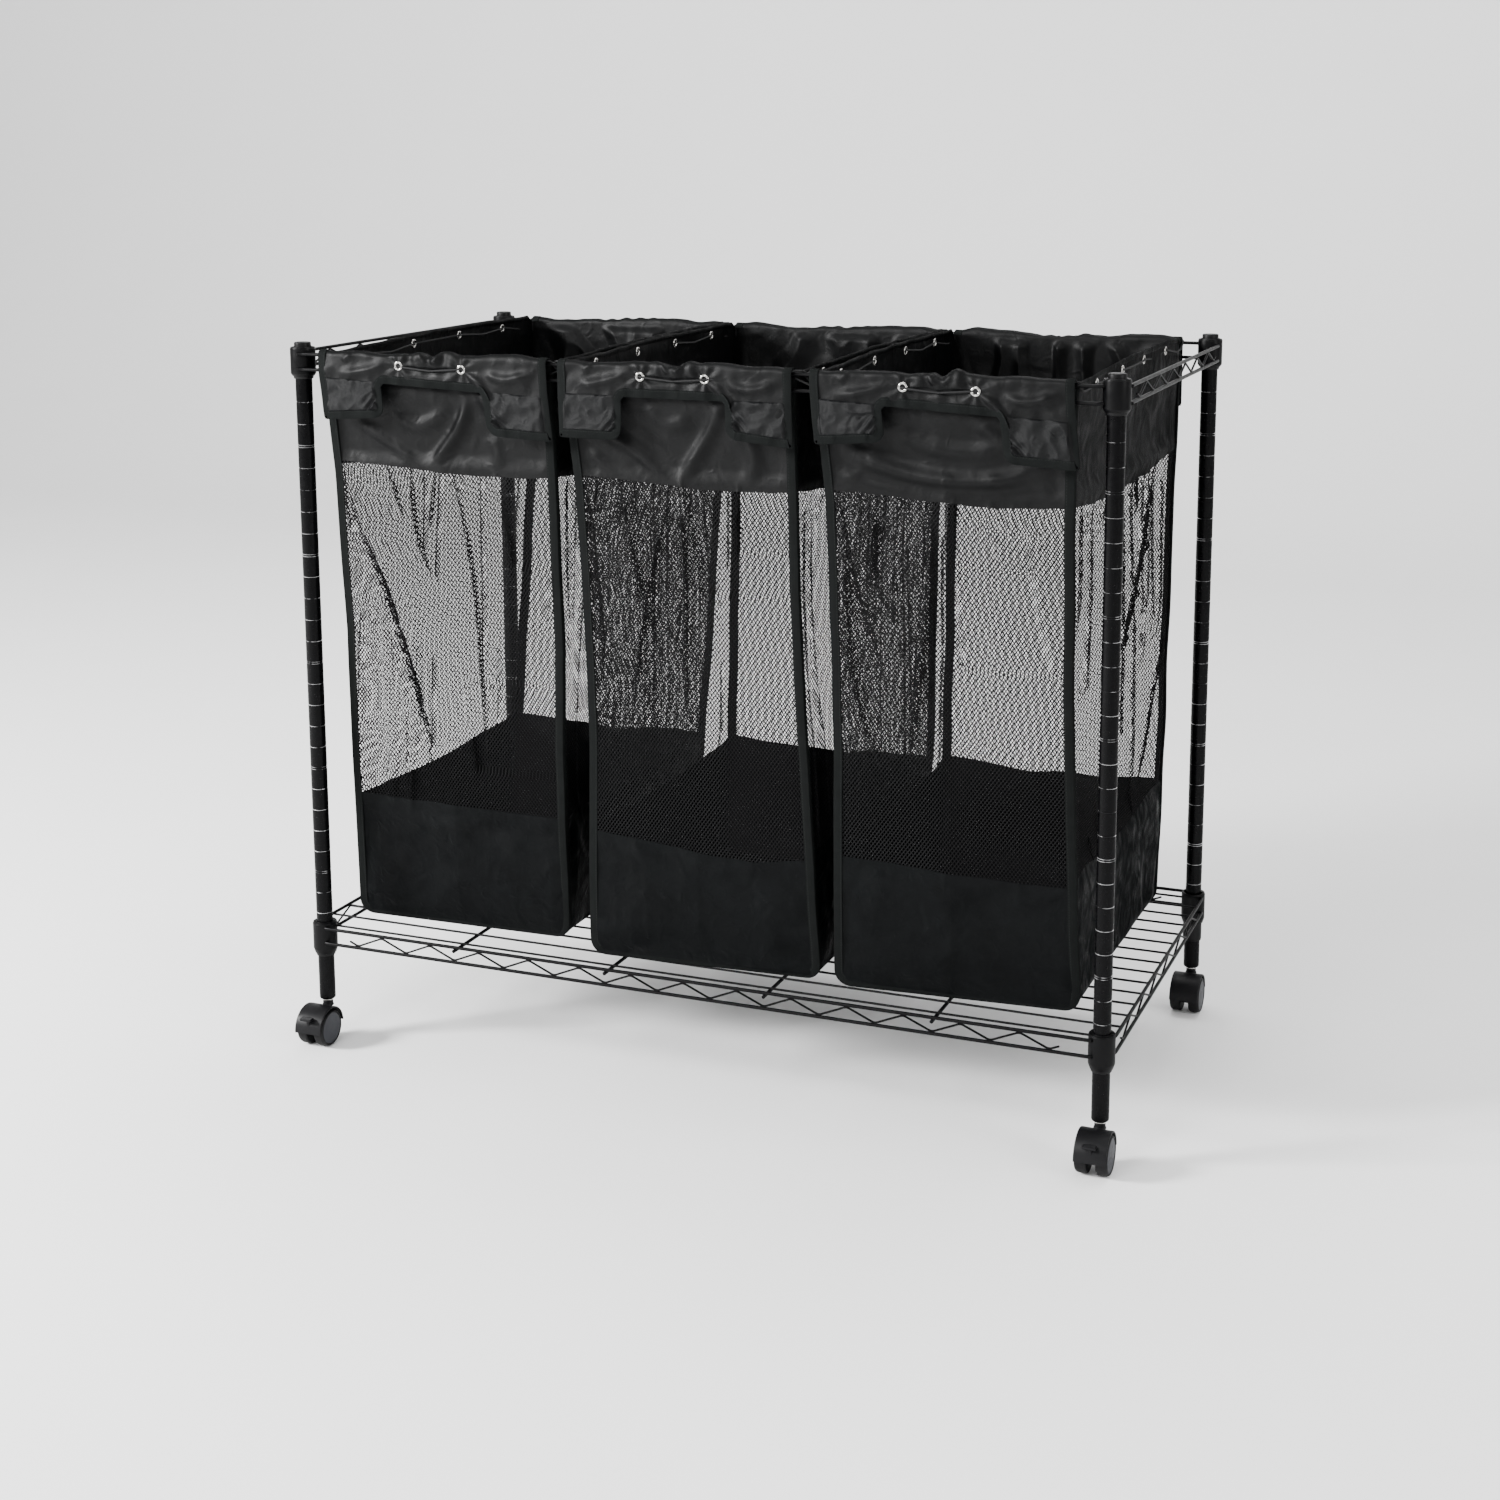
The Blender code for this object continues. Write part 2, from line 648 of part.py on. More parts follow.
def cord_quarter():
    """Cord from the front flap's middle round the left side to its middle."""
    left = Vector((-1, 0, 0))
    back = Vector((0, 1, 0))
    out_y, in_y = FLAP_OUTER_Y + CORD_OFF, FLAP_INNER_Y - CORD_OFF
    out_x, in_x = BAG_HALF_X + CORD_OFF, BAG_HALF_X - BAG_WALL - CORD_OFF
    points = [Vector((0, -out_y, EYELET_Z - 0.0015))]
    points += through(Vector((FLAP_EYELETS[0], 0, EYELET_Z)), -out_y, -in_y, left, back)
    rail_y = SPAN_Y / 2 + RAIL_OFFSET
    for x, y, z in (
        (-0.085, -in_y, EYELET_Z),
        (-0.118, -in_y, EYELET_Z + 0.0015),
        (-0.127, -rail_y - 0.0057, EYELET_Z + 0.0070),
        (-0.132, -rail_y - 0.0030, EYELET_Z + 0.0118),
        (-0.137, -rail_y - 0.0010, EYELET_Z + 0.0123),
        (-0.1422, -rail_y - 0.0005, EYELET_Z + 0.0122),
        (-0.1448, -rail_y + 0.0028, EYELET_Z + 0.0108),
        (-0.1440, -rail_y + 0.0075, EYELET_Z + 0.0055),
        (-out_x - 0.0006, -rail_y + 0.0150, EYELET_Z + 0.0010),
        (-out_x, -rail_y + 0.0300, EYELET_Z),
    ):
        points.append(Vector((x, y, z)))
    right = Vector((1, 0, 0))
    points += through(Vector((0, SIDE_EYELETS[0], EYELET_Z)), -out_x, -in_x, back, right)
    points.append(Vector((-in_x, (SIDE_EYELETS[0] + SIDE_EYELETS[1]) / 2, EYELET_Z - 0.0015)))
    points += through(Vector((0, SIDE_EYELETS[1], EYELET_Z)), -in_x, -out_x, back, right)
    points.append(Vector((-out_x, 0, EYELET_Z - 0.0008)))
    return points


def drawcord():
    """The closed loop, threaded in and out of the eyelets round the rim."""
    quarter = cord_quarter()
    half = quarter + [Vector((p.x, -p.y, p.z)) for p in reversed(quarter[:-1])]
    loop = half + [Vector((-p.x, p.y, p.z)) for p in reversed(half[1:-1])]
    return tube(loop, CORD_R, 6, closed=True)


def make_bags(root):
    for name, place in BAGS.items():
        at = Vector((place * BAG_PITCH, 0, 0))
        add(f"bag_{name}", bag(BAG_FOOT[name]), "nylon", root, at)
        add(f"drawcord_{name}", drawcord(), "cord", root, at)


def main():
    clear_scene()
    root = pivot("cart", None, (0, ORIGIN_Y, 0))
    make_posts(root)
    make_sleeves(root)
    make_frame(root)
    make_casters(root)
    make_bags(root)


main()
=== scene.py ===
"""Looks of the laundry cart: ringed posts, wire frame, twin-wheel casters and three hung cloth bags.

Metres, in the CAD's frame: +X to the right, the front faces -Y, the floor is z = 0.
"""

import math

import bpy
import numpy as np
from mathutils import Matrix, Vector


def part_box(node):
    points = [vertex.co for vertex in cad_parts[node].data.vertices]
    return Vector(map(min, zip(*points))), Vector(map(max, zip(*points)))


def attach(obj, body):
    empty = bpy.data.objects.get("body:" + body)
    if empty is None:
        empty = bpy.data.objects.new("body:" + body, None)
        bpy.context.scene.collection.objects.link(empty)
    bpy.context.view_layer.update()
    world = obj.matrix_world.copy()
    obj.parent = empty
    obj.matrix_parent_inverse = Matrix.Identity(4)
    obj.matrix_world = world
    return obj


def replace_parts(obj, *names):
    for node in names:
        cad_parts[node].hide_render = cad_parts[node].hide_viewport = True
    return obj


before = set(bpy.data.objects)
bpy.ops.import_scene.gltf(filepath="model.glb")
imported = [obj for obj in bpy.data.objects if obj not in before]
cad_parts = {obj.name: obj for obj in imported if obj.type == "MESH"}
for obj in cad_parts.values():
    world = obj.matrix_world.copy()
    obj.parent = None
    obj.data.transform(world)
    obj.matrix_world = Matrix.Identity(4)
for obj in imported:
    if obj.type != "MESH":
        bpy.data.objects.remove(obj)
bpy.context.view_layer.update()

# --- the frame's own places ----------------------------------------------------
CORNERS = {"fl": (-1, -1), "fr": (1, -1), "bl": (-1, 1), "br": (1, 1)}
BAGS = {"left": -1, "middle": 0, "right": 1}


def middle_of(node):
    low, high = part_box(node)
    return (low + high) / 2


POST_AT = {corner: middle_of(f"post_{corner}") for corner in CORNERS}
CENTRE_Y = (POST_AT["fl"].y + POST_AT["bl"].y) / 2
SPAN_X = POST_AT["fr"].x - POST_AT["fl"].x
SPAN_Y = POST_AT["bl"].y - POST_AT["fl"].y
POST_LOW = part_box("post_fl")[0].z
POST_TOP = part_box("post_fl")[1].z
CAP_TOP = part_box("post_cap_fl")[1].z
POST_R = 0.0095
POST_EDGE = 0.0022        # rounding of the tube's lower end
CAP_EDGE = 0.0016

# Ring grooves of the posts
GROOVE_TOP = 0.768
GROOVE_PITCH = 0.0254
GROOVES = 25
GROOVE_DEPTH = 0.00045
GROOVE_HALF = 0.00050
GROOVE_LIP = 0.0001
GROOVE_EASE = 0.0004
DOUBLE_GAP = 0.0024

# Wire frame
COLLAR_R = 0.0143
COLLAR_BORE_R = 0.0116
COLLARS = {"upper": (0.7975, 0.8305, 0.0030), "lower": (0.1080, 0.1465, 0.0062)}  # bottom, top and taper
RAIL_OFFSET = 0.0125
RAIL_R = 0.0020
RAILS = {"upper": (0.8062, 0.8235), "lower": (0.1233, 0.1414)}
ZIGZAG_R = 0.0012
ZIGZAG_PITCH = 0.0645
ZIGZAG_INSET = 0.0022
BENDS = {"x": 14, "y": 7}
WELD_ANGLES = {"upper": (8, 50), "lower": (34, 34)}  # degrees from straight out, at a rail's ends
DECK_WIRE_R = 0.0013
DECK_WIRES = 15
DECK_PITCH = 0.0330
CROSS_BAR_R = 0.0021
CROSS_BAR_BENDS = (2, 5, 8, 11)
SLIPPED_SLEEVE = 0.0195   # how far one half of the back right lower sleeve has slid down

# Casters
TRAIL = 0.0200
WHEEL_R = 0.0215
WHEEL_INNER_X = 0.0049
WHEEL_OUTER_X = 0.0180
HOOD_R = 0.0255
HOOD_HALF = 0.0175
HOOD_WALL = 0.0020
HOOD_FRONT = 92
HOOD_BACK = -85
HUB_R = 0.0118
PIN_R = 0.0030            # of the axle's bore
WEB_HALF = 0.0045
NECK_R = 0.0060
NECK_TOP = 0.0475
DISC_R = 0.0181
STEM_R = 0.0055

# Bags
BAG_PITCH = 0.294
HALF_X = 0.1410
PANEL_Y = 0.2455
SIDE_HALF = 0.23          # a side panel's half width, to count its columns
FLOOR_Z = 0.1425
RIM_Z = 0.8236
SIDE_RISE = (0.0020, 0.0085)  # how far the side hems stand above the front panel's rim, front and back
FOLD_R = 0.0060
BAND_Z = 0.6950
BASE_Z = 0.2920
FOOT_R = 0.0180           # rounding of the side cloth into the floor
TAB_Z = 0.7465
NOTCH_Z = 0.7930
NOTCH_HALF = 0.0640
TAB_ROUND = 0.0120
TAPE = 0.0092
HEM = 0.0060
EYELET_Z = 0.8150
EYELET_R = 0.0054
EYELET_HOLE_R = 0.0027
FLAP_EYELETS = (-0.039, 0.039)
SIDE_EYELETS = (-0.165, -0.055, 0.055, 0.165)
CORD_R = 0.0010
CORD_OFF = 0.0014
WELD = 0.00005            # points of one cloth's panels this close are one point

FOLD_LENGTH = math.pi * FOLD_R
LEAF_END = FOLD_LENGTH + RIM_Z - TAB_Z
LEAF_CUT = FOLD_LENGTH + RIM_Z - NOTCH_Z

# How each bag hangs: where its front corner seams stand, left and right of the bag's centre,
# and how far its front seams come forward of the plain shape at the floor.
SEAM_HEIGHTS = (0.1415, 0.300, 0.500, 0.690, 0.800, 0.8236)
SEAMS = {
    "left": (
        (-0.1620, -0.1500, -0.1405, -0.1395, -0.1430, -0.1440),
        (0.1150, 0.1260, 0.1385, 0.1410, 0.1420, 0.1420),
    ),
    "middle": (
        (-0.1330, -0.1290, -0.1250, -0.1270, -0.1360, -0.1370),
        (0.1420, 0.1380, 0.1310, 0.1305, 0.1320, 0.1330),
    ),
    "right": (
        (-0.1320, -0.1290, -0.1265, -0.1280, -0.1380, -0.1400),
        (0.1400, 0.1385, 0.1355, 0.1370, 0.1390, 0.1400),
    ),
}
FOOT_FORWARD = {"left": (-0.007, -0.014), "middle": (0.018, 0.003), "right": (0.009, -0.008)}
DEPTHS = ((0.1415, 0.1475, 0.2950, 0.6950, 0.7800), (0.1880, 0.1900, 0.2070, 0.2380, PANEL_Y))
BACK_HALF_WIDTHS = ((0.1415, 0.300, 0.800), (0.1375, 0.1390, 0.1410))

# Folds of the front bands: points across and up from the bag's centre, width and height
BAND_FOLDS = {
    "left": (
        (((-0.112, 0.752), (-0.066, 0.726), (-0.018, 0.694)), 0.0062, 0.0042),
        (((0.040, 0.792), (0.030, 0.752), (0.004, 0.722), (-0.022, 0.690)), 0.0075, 0.0075),
        (((-0.064, 0.766), (-0.030, 0.742), (-0.006, 0.756), (0.020, 0.772)), 0.0090, 0.0048),
        (((0.052, 0.796), (0.066, 0.770), (0.084, 0.752)), 0.0100, 0.0052),
        (((0.060, 0.744), (0.072, 0.724), (0.066, 0.694)), 0.0085, 0.0030),
    ),
    "middle": (
        (((-0.120, 0.762), (-0.060, 0.738), (-0.020, 0.702), (0.000, 0.690)), 0.0080, 0.0056),
        (((0.056, 0.796), (0.036, 0.756), (0.010, 0.722), (-0.006, 0.690)), 0.0075, 0.0062),
        (((-0.044, 0.786), (-0.014, 0.758), (0.024, 0.772)), 0.0090, 0.0042),
        (((0.058, 0.768), (0.088, 0.740), (0.074, 0.694)), 0.0095, 0.0050),
        (((-0.116, 0.734), (-0.092, 0.714), (-0.072, 0.692)), 0.0070, 0.0032),
    ),
    "right": (
        (
            ((-0.128, 0.758), (-0.078, 0.730), (0.000, 0.716), (0.070, 0.722), (0.124, 0.748)),
            0.0100, 0.0078,
        ),
        (((-0.070, 0.776), (-0.016, 0.752), (0.040, 0.748), (0.084, 0.766)), 0.0100, 0.0050),
        (((-0.126, 0.728), (-0.094, 0.708), (-0.036, 0.692)), 0.0085, 0.0050),
        (((0.030, 0.786), (0.056, 0.764), (0.096, 0.750)), 0.0070, 0.0032),
    ),
}

# Pleats of the nets and of the flaps, in the same terms
NET_FOLDS = {
    ("left", "front"): (
        (((-0.130, 0.700), (-0.126, 0.618)), 0.0022, 0.0060),
        (((-0.071, 0.700), (-0.055, 0.640)), 0.0022, 0.0045),
        (((-0.0415, 0.705), (-0.038, 0.624), (-0.024, 0.575)), 0.0024, 0.0070),
        (((-0.008, 0.700), (-0.021, 0.630)), 0.0022, 0.0045),
        (((0.011, 0.705), (0.031, 0.596), (0.034, 0.518), (0.042, 0.370)), 0.0026, 0.0065),
    ),
    ("left", "left"): (
        (((0.215, 0.660), (0.195, 0.600), (0.105, 0.440), (0.030, 0.290)), 0.0042, -0.0115),
    ),
    ("left", "right"): ((((-0.150, 0.700), (-0.120, 0.560), (-0.090, 0.420)), 0.0030, 0.0060),),
    ("middle", "front"): (
        (((-0.013, 0.700), (-0.055, 0.550), (-0.074, 0.440)), 0.0024, 0.0065),
        (((-0.077, 0.700), (-0.059, 0.590), (-0.033, 0.495)), 0.0024, 0.0055),
        (((-0.004, 0.700), (0.000, 0.611), (-0.009, 0.440)), 0.0024, 0.0055),
    ),
    ("middle", "right"): ((((-0.100, 0.700), (-0.040, 0.560), (0.040, 0.430)), 0.0030, 0.0060),),
    ("right", "front"): (
        (((-0.115, 0.660), (-0.112, 0.503), (-0.081, 0.400)), 0.0030, 0.0070),
        (((-0.018, 0.700), (-0.020, 0.590), (-0.046, 0.420)), 0.0045, 0.0090),
        (((-0.080, 0.690), (-0.085, 0.600)), 0.0024, 0.0050),
    ),
    ("right", "right"): (
        (((0.130, 0.700), (0.082, 0.583), (-0.010, 0.470)), 0.0034, 0.0075),
        (((0.058, 0.700), (0.072, 0.640)), 0.0024, 0.0050),
        (((0.215, 0.490), (0.106, 0.300)), 0.0024, 0.0050),
    ),
}
LEAF_FOLDS = (  # across and down from the top of the fold
    (((-0.014, -0.008), (-0.004, 0.006)), 0.0030, 0.0038),
    (((0.003, 0.005), (0.014, -0.006)), 0.0030, 0.0034),
    (((-0.036, 0.011), (0.000, 0.0135), (0.036, 0.011)), 0.0032, -0.0022),
    (((0.046, 0.012), (0.062, 0.024), (0.074, 0.046)), 0.0045, 0.0032),
    (((-0.118, 0.020), (-0.085, 0.016), (-0.050, 0.006)), 0.0050, 0.0034),
    (((0.062, 0.010), (0.092, 0.021), (0.128, 0.008)), 0.0052, 0.0034),
    (((-0.110, 0.006), (-0.098, -0.004)), 0.0035, 0.0024),
)
CUT_SLOPE = {"left": 0.042, "middle": 0.0, "right": 0.046}  # down towards the right
TAB_TILT = {"left": (0.11, 0.0), "middle": (0.0, 0.10), "right": (0.12, 0.0)}  # up towards the middle
NET_CELL = (0.0043, 0.0058)
NET_FULLNESS = {"front": (1.0, 1.0), "right": (1.0, 1.0), "back": (1.25, 1.0), "left": (1.1, 1.0)}
PLEAT_WIDTH = 0.85        # half of a pleat's doubled cloth, to its fold's width
PLEAT_LAYERS = (-0.0006, -0.0010)
PLEAT_SHIFT = 0.0013      # of the net's cells in the doubled cloth
EDGE_AT = (-1.0, -0.5, 0.0, 0.5, 1.0)  # across a front panel
BASE_EDGES = {
    "left": (0.3000, 0.2990, 0.2975, 0.2960, 0.2950),
    "middle": (0.2930, 0.2870, 0.2790, 0.2750, 0.2840),
    "right": (0.2960, 0.2930, 0.2890, 0.2860, 0.2870),
}

# Camera and light
LENS = 53.66
SENSOR = 36.0
CAMERA_AT = (0.9791, -2.3893, 1.0681)
CAMERA_YAW = 21.026
CAMERA_PITCH = 9.898
SHIFT = (-0.04, -0.15)


# Cloth threads
NYLON_PITCH = 0.0009
PATCH_PITCH = 0.0011
TAPE_RIB = 0.0007
STITCH_PITCH = 0.0032
STITCH_ROW = 0.0022       # from the tape's inner edge
STITCH_HALF = 0.00035
CORD_STRAND = 0.0016
RIDGED = "RIDGED_MULTIFRACTAL"


# --- materials -------------------------------------------------------------------
class Shader:
    """A Principled material and short ways to wire procedural detail into it."""

    def __init__(self, name, colour, roughness, **sockets):
        self.material = bpy.data.materials.new(name)
        self.material.use_nodes = True
        self.tree = self.material.node_tree
        self.shader = self.tree.nodes["Principled BSDF"]
        self.set("Base Color", (*colour, 1.0))
        self.set("Roughness", roughness)
        for socket, value in sockets.items():
            self.set(socket.replace("_", " "), value)

    def set(self, socket, value):
        self.shader.inputs[socket].default_value = value

    def node(self, kind, inputs=(), **settings):
        made = self.tree.nodes.new(kind)
        for key, value in settings.items():
            setattr(made, key, value)
        for key, value in dict(inputs).items():
            if isinstance(value, bpy.types.NodeSocket):
                self.tree.links.new(value, made.inputs[key])
            else:
                made.inputs[key].default_value = value
        return made

    def link(self, output, socket):
        self.tree.links.new(output, self.shader.inputs[socket])

    def place(self):
        return self.node("ShaderNodeTexCoord").outputs["Object"]

    def cloth_axes(self):
        """Along and across the cloth, in metres."""
        where = self.node("ShaderNodeUVMap", uv_map="cloth").outputs["UV"]
        split = self.node("ShaderNodeSeparateXYZ", {"Vector": where})
        return split.outputs["X"], split.outputs["Y"]

    def noise(self, where, scale, detail=3.0, distortion=0.0, kind="FBM"):
        inputs = {"Vector": where, "Scale": scale, "Detail": detail, "Distortion": distortion}
        return self.node("ShaderNodeTexNoise", inputs, noise_type=kind).outputs["Fac"]

    def stretched(self, where, scale):
        return self.node("ShaderNodeMapping", {"Vector": where, "Scale": scale}).outputs["Vector"]

    def math(self, operation, first, second=0.5):
        return self.node("ShaderNodeMath", {0: first, 1: second}, operation=operation).outputs[0]

    def ramp(self, value, low, high, start=0.0, end=1.0):
        inputs = {"Value": value, "From Min": start, "From Max": end, "To Min": low, "To Max": high}
        return self.node("ShaderNodeMapRange", inputs).outputs["Result"]

    def tint(self, factor, first, second):
        made = self.node("ShaderNodeMix", data_type="RGBA")
        self.tree.links.new(factor, made.inputs["Factor"])
        made.inputs["A"].default_value = (*first, 1.0)
        made.inputs["B"].default_value = (*second, 1.0)
        self.link(made.outputs["Result"], "Base Color")

    def dull_edges(self, level, at_edge):
        """Cloth and coats lose most of their gloss where they turn away from the eye."""
        facing = self.node("ShaderNodeLayerWeight", {"Blend": 0.5}).outputs["Facing"]
        self.link(self.ramp(facing, level, at_edge, 0.10, 0.75), "Specular IOR Level")

    def roughen(self, noise, low, high, start=0.3, end=0.7):
        self.link(self.ramp(noise, low, high, start, end), "Roughness")

    def crossed(self, along, across):
        """Two diagonal waves, the strands of a net or of a braid."""
        return [self.math("PINGPONG", self.math(sign, along, across), 0.5) for sign in ("ADD", "SUBTRACT")]

    def weave(self, pitch):
        """Plain weave: two crossed thread waves."""
        turn = 2 * math.pi / pitch
        waves = [self.math("SINE", self.math("MULTIPLY", axis, turn)) for axis in self.cloth_axes()]
        return self.math("MULTIPLY", *waves)

    def bump(self, height, distance, strength=1.0, after=None):
        inputs = {"Height": height, "Distance": distance, "Strength": strength}
        if after is not None:
            inputs["Normal"] = after
        out = self.node("ShaderNodeBump", inputs).outputs["Normal"]
        self.link(out, "Normal")
        return out


def coat_material(name, gloss, roughness):
    """Black powder coat on steel."""
    made = Shader(name, (0.0012, 0.0012, 0.0014), roughness)
    made.dull_edges(gloss, gloss * 0.3)
    where = made.place()
    made.tint(made.noise(where, 90, 3), (0.0008, 0.0008, 0.0010), (0.0018, 0.0018, 0.0021))
    made.roughen(made.noise(where, 160, 4), roughness - 0.07, roughness + 0.07)
    made.bump(made.noise(where, 1500, 2), 0.00012, 0.35)
    return made.material


def groove_material():
    """The rings' lower lips: metal bright in patches, partly a thin worn coat and partly painted glints."""
    made = Shader("groove_lip_glint", (0.55, 0.55, 0.56), 0.30, Metallic=0.85)
    where = made.place()
    # The bright patches along each groove's lower flank are painted glints, partly a worn thin coat.
    glint_patches = made.ramp(made.noise(made.stretched(where, (1, 1, 0.2)), 110, 2), 0.0, 1.0, 0.42, 0.56)
    made.tint(glint_patches, (0.03, 0.03, 0.032), (0.75, 0.75, 0.76))
    made.roughen(made.noise(where, 400, 2), 0.22, 0.42, 0.0, 1.0)
    return made.material


def plastic_material(name, colour, roughness):
    """Moulded plastic with a fine spark-eroded grain."""
    made = Shader(name, colour, roughness)
    made.dull_edges(0.15, 0.04)
    where = made.place()
    lighter = tuple(c * 1.5 + 0.0004 for c in colour)
    made.tint(made.noise(where, 60, 4), colour, lighter)
    made.roughen(made.noise(where, 220, 3), roughness - 0.07, roughness + 0.08)
    made.bump(made.noise(where, 2600, 2), 0.00010, 0.5)
    return made.material


def nickel_material():
    """Bright plate, a little uneven."""
    made = Shader("nickel_plate", (0.42, 0.41, 0.39), 0.16, Metallic=1.0)
    where = made.place()
    made.tint(made.noise(where, 300, 3), (0.34, 0.335, 0.32), (0.52, 0.51, 0.49))
    made.roughen(made.noise(where, 500, 3), 0.10, 0.28)
    made.bump(made.noise(where, 900, 2), 0.00008, 0.3)
    return made.material


def nylon_material(name, dark, light, gloss, low_rough, high_rough, crumple):
    """Coated nylon: fine weave, crumple lines and a broken gloss."""
    made = Shader(name, dark, low_rough)
    made.dull_edges(gloss, gloss * 0.06)
    where = made.place()
    # The mottle between dark and light is partly random tone; on the lower cloth its lighter patches are
    # painted sheen.
    made.tint(made.noise(where, 24, 5, 0.6), dark, light)
    made.roughen(made.noise(where, 32, 4, 1.0), low_rough, high_rough, 0.35, 0.65)
    first = made.bump(made.noise(where, 26, 4, 1.2, RIDGED), crumple, 0.55)
    second = made.bump(made.noise(where, 75, 4, 1.0, RIDGED), crumple * 0.35, 0.6, first)
    made.bump(made.weave(NYLON_PITCH), 0.00005, 0.5, second)
    return made.material


def net_material():
    """Knitted mesh: crossed diagonal strands with open diamonds."""
    made = Shader("bag_net", (0.002, 0.002, 0.0022), 0.55)
    made.dull_edges(0.08, 0.01)
    across, up = (made.math("DIVIDE", axis, cell) for axis, cell in zip(made.cloth_axes(), NET_CELL))
    near = made.math("MINIMUM", *made.crossed(across, up))
    made.link(made.ramp(near, 1.0, 0.0, 0.148, 0.178), "Alpha")
    made.bump(made.ramp(near, 1.0, 0.0, 0.0, 0.16), 0.0004, 0.8)
    made.tint(made.noise(made.place(), 700, 2), (0.0015, 0.0015, 0.0017), (0.0040, 0.0040, 0.0044))
    return made.material


def tape_material():
    """Woven binding tape: cross ribs and a row of stitches near its inner edge."""
    made = Shader("binding_tape", (0.004, 0.0045, 0.0044), 0.80)
    made.dull_edges(0.05, 0.01)
    along, across = made.cloth_axes()
    ribs, dashes = (made.math("SINE", made.math("MULTIPLY", along, 2 * math.pi / pitch))
                    for pitch in (TAPE_RIB, STITCH_PITCH))
    from_row = made.math("ABSOLUTE", made.math("SUBTRACT", across, STITCH_ROW))
    stitch = made.math("MULTIPLY", made.math("GREATER_THAN", dashes, -0.3),
                       made.math("LESS_THAN", from_row, STITCH_HALF))
    made.tint(made.math("MAXIMUM", made.ramp(made.noise(made.place(), 90, 3), 0.0, 0.35), stitch),
              (0.0034, 0.0040, 0.0039), (0.0105, 0.0115, 0.0112))
    first = made.bump(ribs, 0.00005, 0.5)
    made.bump(stitch, 0.00020, 0.8, first)
    return made.material


def patch_material():
    """Loop side of the tab patches: matt, short fibres."""
    made = Shader("tab_patch", (0.005, 0.005, 0.0054), 0.50)
    made.dull_edges(0.12, 0.0)
    where = made.place()
    made.tint(made.noise(where, 400, 4), (0.0026, 0.0028, 0.0030), (0.0060, 0.0062, 0.0066))
    first = made.bump(made.noise(where, 70, 4, 1.0, RIDGED), 0.0022, 0.6)
    made.bump(made.weave(PATCH_PITCH), 0.00012, 0.7, first)
    return made.material


def cord_material():
    """Braided strands round a thin cord, with painted shade in the hollows between them."""
    made = Shader("braided_cord", (0.006, 0.006, 0.006), 0.75, Specular_IOR_Level=0.25)
    along, around = made.cloth_axes()
    pitches = made.math("MULTIPLY", along, 1 / CORD_STRAND), made.math("MULTIPLY", around, 4.0)
    strands = made.math("MAXIMUM", *made.crossed(*pitches))
    made.bump(strands, 0.0003, 0.8)
    # The tint follows the strands' height: crowns lighter, hollows darker, which is painted shade.
    made.tint(strands, (0.003, 0.003, 0.003), (0.014, 0.014, 0.015))
    return made.material


def floor_material():
    made = Shader("studio_floor", (0.88, 0.88, 0.88), 0.85)
    made.tint(made.noise(made.place(), 3, 3), (0.87, 0.87, 0.87), (0.90, 0.90, 0.90))
    return made.material


# --- meshes ----------------------------------------------------------------------
class Pieces:
    """Collects grids of points, with a cloth coordinate at each, into one mesh."""

    def __init__(self):
        self.points = []
        self.uvs = []
        self.faces = []
        self.slots = []
        self.count = 0

    def grid(self, points, uvs=None, wrap=False, slot=0):
        """points is (rows, columns, 3); wrap joins the last column to the first."""
        points = np.asarray(points, float)
        rows, columns = points.shape[:2]
        if uvs is None:
            uvs = np.zeros((rows, columns, 2))
        index = self.count + np.arange(rows * columns).reshape(rows, columns)
        if wrap:
            index = np.concatenate([index, index[:, :1]], axis=1)
        faces = np.stack([index[:-1, :-1], index[:-1, 1:], index[1:, 1:], index[1:, :-1]], axis=-1)
        self.points.append(points.reshape(-1, 3))
        self.uvs.append(np.asarray(uvs, float).reshape(-1, 2))
        self.faces += faces.reshape(-1, 4).tolist()
        self.slots += [slot] * faces.reshape(-1, 4).shape[0]
        self.count += rows * columns

    def fan(self, ring):
        """Closes a ring of points with one face."""
        ring = np.asarray(ring, float)
        self.points.append(ring)
        self.uvs.append(np.zeros((len(ring), 2)))
        self.faces.append(list(range(self.count, self.count + len(ring))))
        self.slots.append(0)
        self.count += len(ring)

    def build(self, name, materials, body, slot, sharp=35, weld=0.0):
        """The mesh as an object on a body, its edges sharp above an angle in degrees."""
        mesh = bpy.data.meshes.new(name)
        mesh.from_pydata(np.concatenate(self.points).tolist(), [], self.faces)
        layer = mesh.uv_layers.new(name="cloth")
        corners = np.empty(len(mesh.loops), np.int32)
        mesh.loops.foreach_get("vertex_index", corners)
        layer.data.foreach_set("uv", np.concatenate(self.uvs)[corners].astype(np.float32).ravel())
        for material in materials:
            mesh.materials.append(material)
        mesh.polygons.foreach_set("material_index", self.slots)
        mesh.shade_smooth()
        mesh.set_sharp_from_angle(angle=math.radians(sharp))
        obj = bpy.data.objects.new(name, mesh)
        bpy.context.scene.collection.objects.link(obj)
        if weld:
            obj.modifiers.new("weld", "WELD").merge_threshold = weld
        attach(obj, body)
        return obj


def lengths_along(line):
    """How far each point of a line is from its start."""
    return np.concatenate([[0], np.cumsum(np.linalg.norm(np.diff(line, axis=0), axis=1))])


def units(vectors):
    """Rows of vectors, each at length 1."""
    return vectors / np.linalg.norm(vectors, axis=1, keepdims=True)


def directions(line):
    """The unit direction of an open line at each of its points."""
    return units(np.concatenate([line[1:], line[-1:]]) - np.concatenate([line[:1], line[:-1]]))


